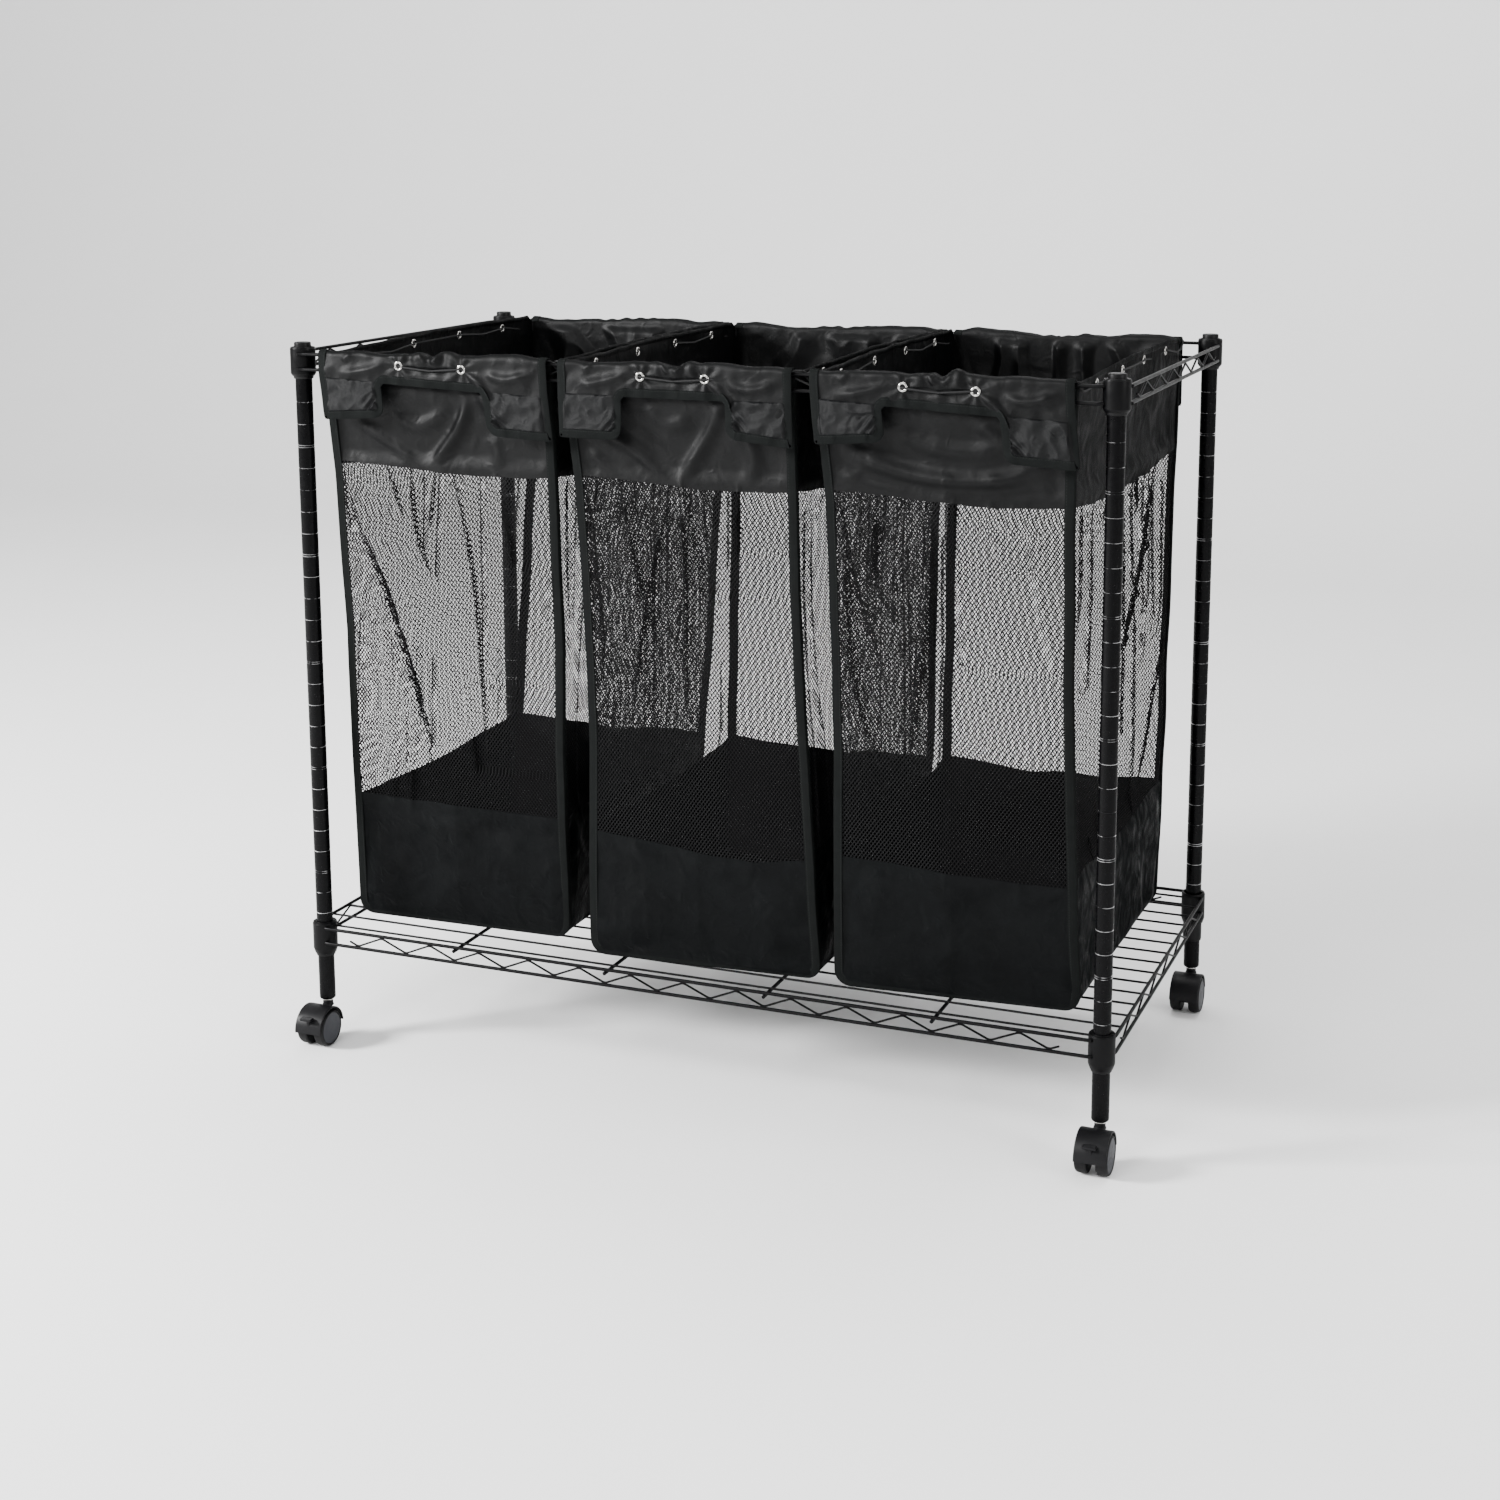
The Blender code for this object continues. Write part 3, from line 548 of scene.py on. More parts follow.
def rounded(points, radius, steps=5):
    """A polyline with its corners cut by arcs of about this radius."""
    points = [np.array(p, float) for p in points]
    out = [points[0]]
    for before, corner, after in zip(points, points[1:], points[2:]):
        come, go = before - corner, after - corner
        reach = min(radius, 0.45 * np.linalg.norm(come), 0.45 * np.linalg.norm(go))
        start = corner + come / np.linalg.norm(come) * reach
        end = corner + go / np.linalg.norm(go) * reach
        for t in np.linspace(0, 1, steps):
            out.append((1 - t) ** 2 * start + 2 * t * (1 - t) * corner + t ** 2 * end)
    out.append(points[-1])
    return np.array(out)


def wire(pieces, points, radius, sides, closed=False):
    """A round wire swept along points, its ends slightly domed."""
    points = np.asarray(points, float)
    along = units(np.roll(points, -1, 0) - np.roll(points, 1, 0)) if closed else directions(points)
    side = np.cross(along[0], (0.31, 0.17, 0.93))  # no wire runs in this direction
    rings, uvs = [], []
    angles = 2 * math.pi * np.arange(sides) / sides
    for point, direction, length in zip(points, along, lengths_along(points)):
        side = side - direction * np.dot(side, direction)
        side /= np.linalg.norm(side)
        up = np.cross(direction, side)
        rings.append(point + radius * (np.outer(np.cos(angles), side) + np.outer(np.sin(angles), up)))
        uvs.append(np.stack([np.full(sides, length), angles / (2 * math.pi)], axis=1))
    if closed:
        rings.append(rings[0])
        uvs.append(uvs[0])
    else:
        for end, sign in ((0, -1), (-1, 1)):
            tip = points[end] + (rings[end] - points[end]) * 0.55 + along[end] * sign * radius * 0.4
            rings.insert(0 if end == 0 else len(rings), tip)
            uvs.insert(0 if end == 0 else len(uvs), uvs[end])
    pieces.grid(rings, uvs, wrap=True)
    if not closed:
        pieces.fan(rings[0][::-1])
        pieces.fan(rings[-1])


def turned(pieces, profile, centre, axis="Z", sides=48, slots=None, start=0.0, end=360.0):
    """Turns (radius, height) points round an axis through centre."""
    whole = end - start >= 360.0
    steps = sides if whole else sides + 1
    angles = np.radians(start + (end - start) * np.arange(steps) / sides)
    profile = np.array(profile, float)
    radius, height = profile[:, 0][:, None], profile[:, 1][:, None]
    first, second = radius * np.cos(angles), radius * np.sin(angles)
    height = height + 0 * first
    points = np.stack([first, second, height] if axis == "Z" else [height, first, second], axis=-1)
    points += np.array(centre)
    if slots is None:
        pieces.grid(points, wrap=whole)
        return
    for i, slot in enumerate(slots):
        pieces.grid(points[i:i + 2], wrap=whole, slot=slot)


def softened(profile, radius):
    """The same outline with small rounds at its corners."""
    return rounded(profile, radius, 4)


# --- posts, collars and rails ----------------------------------------------------
def post_foot(corner):
    """Where a post's axis meets the floor."""
    return POST_AT[corner].x, POST_AT[corner].y, 0


def groove_heights():
    """Heights of the post's rings: every fifth is double."""
    for k in range(GROOVES):
        z = GROOVE_TOP - k * GROOVE_PITCH
        if k % 5 == 2:
            yield z + DOUBLE_GAP / 2
            yield z - DOUBLE_GAP / 2
        else:
            yield z


def post_profile():
    """The tube's outline from its rounded lower end up, and the material of each stretch."""
    profile = [(POST_R - 0.0040, POST_LOW + 0.0006)]
    profile += [(POST_R - POST_EDGE + POST_EDGE * math.sin(a), POST_LOW + POST_EDGE - POST_EDGE * math.cos(a))
                for a in np.radians((0, 25, 50, 75, 90))]
    slots = [0] * (len(profile) - 1)
    for z in sorted(groove_heights()):
        profile += [
            (POST_R, z - GROOVE_HALF - GROOVE_EASE),
            (POST_R - GROOVE_LIP, z - GROOVE_HALF),
            (POST_R - GROOVE_DEPTH, z - GROOVE_HALF * 0.3),
            (POST_R - GROOVE_DEPTH, z + GROOVE_HALF * 0.3),
            (POST_R - GROOVE_LIP, z + GROOVE_HALF),
            (POST_R, z + GROOVE_HALF + GROOVE_EASE),
        ]
        # slot 1, each groove's lower flank, takes the groove material with its painted glints
        slots += [0, 0, 1, 0, 0, 0]
    return profile + [(POST_R, POST_TOP)], slots + [0]


def cap_profile():
    """A low dome with a rounded edge."""
    rise, dome_r, edge_z = 0.0004, 0.0075, CAP_TOP - CAP_EDGE
    profile = [(POST_R, POST_TOP + 0.0003), (POST_R, edge_z)]
    profile += [(POST_R - CAP_EDGE + CAP_EDGE * math.cos(a), edge_z + (CAP_EDGE - rise) * math.sin(a))
                for a in np.radians((20, 40, 60, 80))]
    return profile + [(r, CAP_TOP - rise + rise * (1 - (r / dome_r) ** 2))
                      for r in (dome_r, 0.005, 0.0025, 0.00001)]


def make_posts(coat, lip, plastic):
    """Ringed tubes and their caps."""
    profile, slots = post_profile()
    for corner in CORNERS:
        tube, top = Pieces(), Pieces()
        turned(tube, profile, post_foot(corner), slots=slots)
        made = tube.build(f"ringed_post_{corner}", [coat, lip], "frame", "black_coat")
        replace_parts(made, f"post_{corner}")
        turned(top, cap_profile(), post_foot(corner))
        made = top.build(f"domed_cap_{corner}", [plastic], "frame", "black_plastic", 50)
        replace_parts(made, f"post_cap_{corner}")


def make_sleeves(plastic):
    """Two half shells in each collar; one at the back right has slid down its post."""
    inner, outer = POST_R + 0.0002, COLLAR_BORE_R - 0.0001
    for level, (bottom, top, _) in COLLARS.items():
        for corner in CORNERS:
            halves = Pieces()
            for start in (4, 184):
                slip = SLIPPED_SLEEVE if (level, corner, start) == ("lower", "br", 184) else 0.0
                low, high = bottom - 0.0030 - slip, top + 0.0006 - slip
                profile = softened([(inner, low), (outer - 0.0006, low), (outer, low + 0.003),
                                    (outer, high), (inner, high), (inner, low)], 0.0004)
                turned(halves, profile, post_foot(corner), sides=24, start=start, end=start + 172)
            made = halves.build(f"split_sleeve_{level}_{corner}", [plastic], "frame", "black_plastic")
            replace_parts(made, f"{level}_sleeve_{corner}")


def zigzag(bends, level):
    """Points along a rail and in height: lower bends, upper bends and short end stubs."""
    low, high = RAILS[level][0] + ZIGZAG_INSET, RAILS[level][1] - ZIGZAG_INSET
    first = -(bends - 1) / 2 * ZIGZAG_PITCH
    stub = ZIGZAG_PITCH / 6
    rise = (high - low) / 3
    points = [(first - stub, low + rise)]
    for i in range(bends):
        points.append((first + i * ZIGZAG_PITCH, low))
        if i < bends - 1:
            points.append((first + (i + 0.5) * ZIGZAG_PITCH, high))
    points.append((-first + stub, low + rise))
    return points


def weld_end(half_span, angle):
    """Along and outwards of a rail's last points, where it turns in and meets a collar."""
    angle = math.radians(angle)
    reach = COLLAR_R + RAIL_R * 0.35
    end = (half_span - reach * math.sin(angle), reach * math.cos(angle) - 0.0004)
    start = half_span - COLLAR_R * math.sin(angle) - 0.0050
    return [(start - 0.004, RAIL_OFFSET), (start, RAIL_OFFSET), end]


def rail_wires(pieces, level, span, place):
    """Both wires and the zig-zag of one side; place turns (along, outwards, z) into a point."""
    half = span / 2
    angles = WELD_ANGLES[level]
    for z in RAILS[level]:
        left = [(-a, o) for a, o in reversed(weld_end(half, angles[0]))]
        path = rounded([place(a, o, z) for a, o in left + weld_end(half, angles[1])], 0.004)
        wire(pieces, path, RAIL_R, 16)
    bends = BENDS["x"] if span > 0.7 else BENDS["y"]
    path = rounded([place(a, RAIL_OFFSET, z) for a, z in zigzag(bends, level)], 0.0035)
    wire(pieces, path, ZIGZAG_R, 10)


def collar_profile(level):
    """A collar's outline, wider at the top of its taper."""
    bottom, top, taper = COLLARS[level]
    return softened([
        (COLLAR_BORE_R, bottom + 0.0004),
        (COLLAR_BORE_R + 0.0007, bottom),
        (COLLAR_R, bottom + taper),
        (COLLAR_R, top - 0.0016),
        (COLLAR_R - 0.0005, top - 0.0013),
        (COLLAR_R - 0.0006, top),
        (COLLAR_BORE_R, top),
        (COLLAR_BORE_R, bottom + 0.0006),
    ], 0.0005)


def make_frame(coat):
    """Front and back rails, side rails with their collars, and the deck."""
    for level, prefix in (("upper", "upper"), ("lower", "shelf")):
        for sign, side in ((-1, "front"), (1, "back")):
            rails = Pieces()
            rail_wires(rails, level, SPAN_X, lambda a, o, z: (a, CENTRE_Y + sign * (SPAN_Y / 2 + o), z))
            made = rails.build(f"{prefix}_wires_{side}", [coat], "frame", "black_coat")
            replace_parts(made, f"{prefix}_rail_{side}")
        for sign, side in ((-1, "left"), (1, "right")):
            rails = Pieces()
            rail_wires(rails, level, SPAN_Y, lambda a, o, z: (sign * (SPAN_X / 2 + o), CENTRE_Y + a, z))
            for corner, (sx, _) in CORNERS.items():
                if sx == sign:
                    turned(rails, collar_profile(level), post_foot(corner))
            made = rails.build(f"{prefix}_wires_{side}", [coat], "frame", "black_coat")
            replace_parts(made, f"{prefix}_side_{side}")
    make_deck(coat)


def make_deck(coat):
    """Cross bars under the lower rails' upper wires, and the long wires on them."""
    bar_z = RAILS["lower"][1] - RAIL_R - 0.0003 - CROSS_BAR_R
    wire_z = bar_z + CROSS_BAR_R + DECK_WIRE_R - 0.0005
    bar_end = SPAN_Y / 2 + RAIL_OFFSET + 0.0015
    deck = Pieces()
    for bend in CROSS_BAR_BENDS:
        x = (bend - (BENDS["x"] - 1) / 2) * ZIGZAG_PITCH
        wire(deck, [(x, CENTRE_Y + y, bar_z) for y in np.linspace(-bar_end, bar_end, 9)], CROSS_BAR_R, 14)
    for k in range(DECK_WIRES):
        y = (k - (DECK_WIRES - 1) / 2) * DECK_PITCH
        beside_post = SPAN_Y / 2 - abs(y) < COLLAR_R + DECK_WIRE_R
        reach = SPAN_X / 2 + (-COLLAR_R * 0.95 if beside_post else RAIL_OFFSET)
        wire(deck, [(x, CENTRE_Y + y, wire_z) for x in np.linspace(-reach, reach, 13)], DECK_WIRE_R, 10)
    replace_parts(deck.build("deck_wires", [coat], "frame", "black_coat"), "shelf_deck")


# --- casters ---------------------------------------------------------------------
def arc_solid(pieces, profile, centre, start, end, steps):
    """A closed (radius, X) outline swept round the axle, from straight up towards the front."""
    rings = [[(centre[0] + x, centre[1] - r * math.sin(a), centre[2] + r * math.cos(a)) for r, x in profile]
             for a in np.radians(np.linspace(start, end, steps))]
    pieces.grid(rings, wrap=True)
    pieces.fan(rings[0])
    pieces.fan(rings[-1][::-1])


def block(pieces, low, high, round_=0.0008):
    """A box with small chamfers, as a stack of rounded rectangles."""
    low, high = np.array(low, float), np.array(high, float)
    centre, half = (low + high) / 2, (high - low) / 2
    rings = []
    for z, inset in ((-1, 1), (-1, 0), (1, 0), (1, 1)):
        shrink = round_ * inset
        depth = z * (half[2] - (0 if inset else round_))
        ring = []
        for k in range(24):
            angle = 2 * math.pi * (k + 0.5) / 24
            cos, sin = math.cos(angle), math.sin(angle)
            x = math.copysign(half[0] - shrink - round_, cos) + round_ * cos
            y = math.copysign(half[1] - shrink - round_, sin) + round_ * sin
            ring.append(centre + (x, y, depth))
        rings.append(ring)
    pieces.grid(rings, wrap=True)
    pieces.fan(rings[0][::-1])
    pieces.fan(rings[-1])


def make_hood(corner, at, plastic):
    """A shell over the wheels, the web and hub between them, and the neck that turns on the stem."""
    hood = Pieces()
    outline = softened([
        (HOOD_R - HOOD_WALL, -HOOD_HALF), (HOOD_R, -HOOD_HALF), (HOOD_R, HOOD_HALF),
        (HOOD_R - HOOD_WALL, HOOD_HALF), (HOOD_R - HOOD_WALL, -HOOD_HALF),
    ], 0.0014)[1:-1]
    arc_solid(hood, outline, at, HOOD_BACK, HOOD_FRONT, 48)
    for outer, inner, start, end, steps in (
        (HOOD_R - 0.001, HUB_R - 0.0003, HOOD_BACK, HOOD_FRONT, 40),
        (HUB_R, PIN_R, 0, 359.9, 33),
    ):
        outline = [(outer, -WEB_HALF), (outer, WEB_HALF), (inner, WEB_HALF), (inner, -WEB_HALF)]
        arc_solid(hood, outline, at, start, end, steps)
    neck = softened([(0.0001, 0.0170), (NECK_R + 0.0012, 0.0195), (NECK_R, 0.0225),
                     (NECK_R, NECK_TOP - WHEEL_R), (0.0001, NECK_TOP - WHEEL_R)], 0.0010)
    turned(hood, neck, (at[0], at[1] + TRAIL, at[2]), sides=32)
    made = hood.build(f"hood_shell_{corner}", [plastic], f"swivel_{corner}", "hood_plastic", 40)
    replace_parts(made, f"caster_hood_{corner}")


def make_wheels(corner, at, tread, face):
    """A tread and rim turned round the axle, and a slightly domed disc in the rim."""
    profile = softened([
        (0.0032, WHEEL_INNER_X), (WHEEL_R - 0.0012, WHEEL_INNER_X), (WHEEL_R, WHEEL_INNER_X + 0.0014),
        (WHEEL_R, WHEEL_OUTER_X - 0.0030), (WHEEL_R - 0.0009, WHEEL_OUTER_X - 0.0010),
        (WHEEL_R - 0.0021, WHEEL_OUTER_X), (WHEEL_R - 0.0029, WHEEL_OUTER_X),
        (WHEEL_R - 0.0034, WHEEL_OUTER_X - 0.0007),
    ], 0.0006)
    disc = [(r, WHEEL_OUTER_X - 0.0007 + 0.0006 * (1 - (r / DISC_R) ** 2))
            for r in (DISC_R, 0.015, 0.012, 0.009, 0.006, 0.003, 0.0001)]
    for sign, side in ((-1, "l"), (1, "r")):
        wheel = Pieces()
        turned(wheel, [(r, sign * x) for r, x in profile], at, "X")
        turned(wheel, [(r, sign * x) for r, x in disc], at, "X", slots=[1] * (len(disc) - 1))
        made = wheel.build(f"wheel_{corner}_{side}", [tread, face], f"wheel_{corner}_{side}", "wheel_plastic")
        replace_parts(made, f"caster_wheel_{corner}_{side}")


def make_lever(corner, at, plastic):
    """A tab with three grip ribs, its upright and its arm to the pin."""
    low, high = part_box(f"brake_lever_{corner}")
    left, right = at[0] - 0.0020, at[0] + 0.0020
    lever = Pieces()
    block(lever, (low.x, low.y, high.z - 0.0030), (high.x, low.y + 0.0085, high.z))
    block(lever, (left, low.y + 0.0058, at[2] + 0.0030), (right, low.y + 0.0105, high.z - 0.0004))
    block(lever, (left, low.y + 0.0095, at[2] + 0.0020), (right, high.y, at[2] + 0.0060))
    for k in range(3):
        y, z = low.y + 0.0022 + 0.0019 * k, high.z - 0.0001
        wire(lever, [(low.x + 0.0012, y, z), (high.x - 0.0012, y, z)], 0.0004, 6)
    made = lever.build(f"brake_tab_{corner}", [plastic], f"lever_{corner}", "hood_plastic")
    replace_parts(made, f"brake_lever_{corner}")


def make_stem(corner, nickel):
    """The pin, its ring under the post and the start of its grip in the tube."""
    stem = Pieces()
    profile = [(0.0001, 0.0400), (0.0036, 0.0400), (0.0036, NECK_TOP), (0.0062, NECK_TOP + 0.0002),
               (0.0066, NECK_TOP + 0.0010), (0.0062, POST_LOW - 0.0002), (STEM_R, POST_LOW),
               (STEM_R, POST_LOW + 0.006), (0.0001, POST_LOW + 0.006)]
    turned(stem, softened(profile, 0.0003), post_foot(corner), sides=32)
    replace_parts(stem.build(f"stem_ring_{corner}", [nickel], "frame", "nickel"), f"caster_stem_{corner}")


def make_casters(hood_plastic, tread, face, nickel):
    for corner, (_, sy) in CORNERS.items():
        at = (POST_AT[corner].x, POST_AT[corner].y - TRAIL, WHEEL_R)
        make_hood(corner, at, hood_plastic)
        make_wheels(corner, at, tread, face)
        make_stem(corner, nickel)
        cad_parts[f"caster_axle_{corner}"].data.materials[0] = nickel
        if sy < 0:
            make_lever(corner, at, hood_plastic)


# --- cloth shapes ----------------------------------------------------------------
def smooth(t):
    """An eased step from 0 to 1 as t goes from 0 to 1."""
    t = np.clip(t, 0, 1)
    return t * t * (3 - 2 * t)


def noise2(x, y, seed):
    """Gradient noise from -1 to 1 on a unit lattice."""
    angles = np.random.default_rng(seed).uniform(0, 2 * math.pi, (64, 64))
    ix, iy = np.floor(x).astype(int), np.floor(y).astype(int)
    fx, fy = x - ix, y - iy

    def slope(dx, dy):
        angle = angles[(ix + dx) % 64, (iy + dy) % 64]
        return np.cos(angle) * (fx - dx) + np.sin(angle) * (fy - dy)

    u, v = smooth(fx), smooth(fy)
    low = slope(0, 0) * (1 - u) + slope(1, 0) * u
    high = slope(0, 1) * (1 - u) + slope(1, 1) * u
    return 1.5 * (low * (1 - v) + high * v)


def ridge(x, y, seed, sharp, low=-1.0):
    """Crumple lines: 1 along the lines where the noise is 0, falling off to both sides."""
    return np.clip(1 - np.abs(noise2(x, y, seed)) * sharp, low, 1)


def eased(points):
    """A line of points with each corner cut a quarter of the way along its two sides, three times."""
    line = np.array(points, float)
    for _ in range(3):
        cut = np.stack([0.75 * line[:-1] + 0.25 * line[1:], 0.25 * line[:-1] + 0.75 * line[1:]], axis=1)
        line = np.concatenate([line[:1], cut.reshape(-1, 2), line[-1:]])
    return line


def crease(x, z, points, width, height):
    """A rounded ridge along a smoothed line of points, fading out at its ends."""
    line = eased(points)
    lengths = lengths_along(line)
    best = np.full(np.shape(x), np.inf)
    place = np.zeros(np.shape(x))
    for (x0, z0), (x1, z1), start in zip(line, line[1:], lengths):
        dx, dz = x1 - x0, z1 - z0
        reach = math.hypot(dx, dz)
        t = np.clip(((x - x0) * dx + (z - z0) * dz) / reach ** 2, 0, 1)
        away = np.hypot(x - x0 - t * dx, z - z0 - t * dz)
        place = np.where(away < best, start + t * reach, place)
        best = np.minimum(best, away)
    place = place / lengths[-1]
    return height * np.exp(-((best / width) ** 2)) * smooth(place / 0.30) * smooth((1 - place) / 0.30)


def creases(x, z, folds):
    """All of a panel's folds together."""
    return sum(crease(x, z, *fold) for fold in folds)


def corner_xy(bag, corner, z):
    """Where a bag's corner seam stands at each height."""
    sx, sy = CORNERS[corner]
    z = np.asarray(z, float)
    ends = SEAMS[bag]
    left, right = (np.interp(z, SEAM_HEIGHTS, end) for end in ends)
    if sy > 0:  # the back hangs straighter than the front
        plain = np.interp(z, *BACK_HALF_WIDTHS)
        foot = np.interp(z, (0.1415, 0.690), (0.5 * (ends[0][0] + ends[1][0]), 0.0))
        left, right = foot - plain, foot + plain
    middle, half = (left + right) / 2, (right - left) / 2
    foot_rise = np.clip(FLOOR_Z + FOOT_R - z, 0, FOOT_R)
    half = half - FOOT_R + np.sqrt(FOOT_R ** 2 - foot_rise ** 2)
    depth = np.interp(z, *DEPTHS)
    if sy < 0:
        forward = FOOT_FORWARD[bag][0 if sx < 0 else 1]
        depth = depth + forward * smooth((0.42 - z) / 0.28)
    sway = 0.0016 * noise2(z * 11 + 7 * sx, z * 0 + 3.3 * sy + 0.37, 5 + BAGS[bag])
    sway = sway * smooth((0.78 - z) / 0.1) * smooth((z - 0.16) / 0.05)
    return BAG_PITCH * BAGS[bag] + middle + sx * half + sway, CENTRE_Y + sy * (depth + sway)


SIDES = {  # corner on the left and on the right as seen from outside, and a seed
    "front": ("fl", "fr", 11),
    "right": ("fr", "br", 23),
    "back": ("br", "bl", 37),
    "left": ("bl", "fl", 41),
}


def facing_bag(bag, side):
    """Whether this side of this bag faces another bag."""
    return side in ("left", "right") and abs(BAGS[bag] + (1 if side == "right" else -1)) <= 1


def net_relief(side, x, z, drift, seed):
    """Pleats that come and go, and a slow swell."""
    wide = side in ("left", "right")
    pleat = noise2((x + drift) * (20 if wide else 15), z * 2.2 + 5.5, seed + 2)
    some = noise2(x * 7, z * 4, seed + 3) > (-0.12 if wide else 0.25)
    return 0.0050 * np.exp(-((pleat / 0.055) ** 2)) * some + 0.0030 * noise2(x * 12, z * 3.2, seed + 4)


def band_relief(bag, side, x, z, drift, seed):
    """Crumples between the rail and the net, with the long folds of a front band."""
    wide = side in ("left", "right")
    out = (0.0006 if wide else 0.0012) * ridge((x + drift) * 17, (z + drift) * 13, seed + 5, 2.2)
    out = out + 0.0004 * noise2(x * 55, z * 48, seed + 6)
    if wide:
        out = out + 0.0030 * noise2(x * 7 + 0.4, z * 5, seed + 12) - 0.0050 * smooth((0.800 - z) / 0.06)
    if side == "back":
        out = out - 0.0090 * ridge((x + 2 * drift) * 19, (z - 3 * drift) * 7, seed + 10, 2.6, 0.0)
    if side == "front":
        out = out + creases(x, z, BAND_FOLDS[bag]) - 0.0040 * smooth((0.79 - z) / 0.03)
    return out


def base_relief(x, z, drift, seed):
    """Shallow dents and crumples of the thin lower cloth."""
    out = 0.0024 * ridge((x + drift) * 12, (z + drift) * 10, seed + 7, 2.2)
    return out + 0.0005 * noise2(x * 40, z * 40, seed + 8) + 0.0030 * noise2(x * 14 + 0.3, z * 9, seed + 11)


def panel_relief(bag, side, x, z, half):
    """How far the cloth of a panel stands out of its plain shape."""
    seed = SIDES[side][2] + 100 * (BAGS[bag] + 1)
    from_seam = half - np.abs(x)
    drift = 0.012 * noise2(x * 5, z * 5, seed + 1)
    net = smooth((z - BASE_Z + 0.02) / 0.05) * smooth((BAND_Z + 0.012 - z) / 0.035)
    band = smooth((z - BAND_Z - 0.004) / 0.02)
    base = smooth((BASE_Z - 0.004 - z) / 0.02)
    out = 0.0022 * noise2(x * 9 + 3.1, z * 3.0 + 1.7, seed)
    out = out + net * (net_relief(side, x, z, drift, seed) + creases(x, z, NET_FOLDS.get((bag, side), ())))
    out = out + band * band_relief(bag, side, x, z, drift, seed) + base * base_relief(x, z, drift, seed)
    if side in ("left", "right"):
        out = out - net * (0.0080 * smooth(from_seam / 0.06) + (0.0020 if facing_bag(bag, side) else 0.0))
    else:
        out = out + 0.0030 * np.exp(-np.abs(x + 0.002) / 0.020) * (1 - band)
    out = out * smooth((z - FLOOR_Z) / 0.030) * smooth((RIM_Z - z) / 0.012)
    if side in ("front", "back"):  # no fold pushes out between the rail's wires
        out = out - np.maximum(out, 0) * smooth((z - 0.786) / 0.016)
    most = 0.0042 if facing_bag(bag, side) else 0.0080
    return np.clip(out, -0.016, most) * smooth(from_seam / 0.022)


def panel(bag, side, u, z, off=0.0):
    """Points of a panel: u from -1 to 1 across, z up, off outwards."""
    u, z = np.broadcast_arrays(np.asarray(u, float), np.asarray(z, float))
    first, second, _ = SIDES[side]
    ax, ay = corner_xy(bag, first, z)
    bx, by = corner_xy(bag, second, z)
    t = (u + 1) / 2
    dx, dy = bx - ax, by - ay
    length = np.hypot(dx, dy)
    nx, ny = dy / length, -dx / length
    x = u * length / 2
    out = panel_relief(bag, side, x, z, length / 2) + off
    sag = 0.0
    if side in ("left", "right"):
        back = (1 + u) / 2 if side == "right" else (1 - u) / 2
        rise = SIDE_RISE[0] + (SIDE_RISE[1] - SIDE_RISE[0]) * smooth(back * 1.8)
        rise = rise + 0.0012 * noise2(u * 9, u * 0 + 0.5, SIDES[side][2] + 7 * BAGS[bag])
        sag = rise * smooth((z - 0.800) / 0.0236) * smooth((1 - np.abs(u)) / 0.06)
    points = np.stack([ax + dx * t + nx * out, ay + dy * t + ny * out, z + sag], axis=-1)
    return points, np.stack([x, z], axis=-1)


def leaf_relief(bag, side, x, q):
    """How far a flap's cloth stands out of its plain shape."""
    seed = 500 + SIDES[side][2] + 10 * BAGS[bag]
    down = q - FOLD_LENGTH
    hang = smooth(down / 0.020)
    ripple = noise2(x * 34 + 0.6 * down / 0.01, q * 14, seed)
    out = 0.0011 * ripple + 0.0007 * noise2(x * 80, q * 60, seed + 1)
    out = out + 0.0013 * ridge(x * 26, q * 22, seed + 2, 2.4) * hang
    for centre in FLAP_EYELETS:
        towards = np.hypot(x - centre, (down - 0.009) * 1.2)
        spokes = np.sin(7 * np.arctan2(down - 0.009, x - centre) + centre * 90)
        out = out + 0.0016 * spokes * smooth((towards - 0.004) / 0.008) * np.exp(-towards / 0.020)
    between = smooth((0.045 - np.abs(x)) / 0.015)
    gather = np.sin(x * 2 * math.pi / 0.021 + BAGS[bag] + 1) * between
    out = out + 0.0016 * gather * np.exp(-((down + 0.004) / 0.016) ** 2) + creases(x, down, LEAF_FOLDS)
    out = out + 0.0020 * smooth(down / 0.075) * (np.abs(x) > NOTCH_HALF * 0.9)
    return np.clip(out, -0.0025, 0.0050)


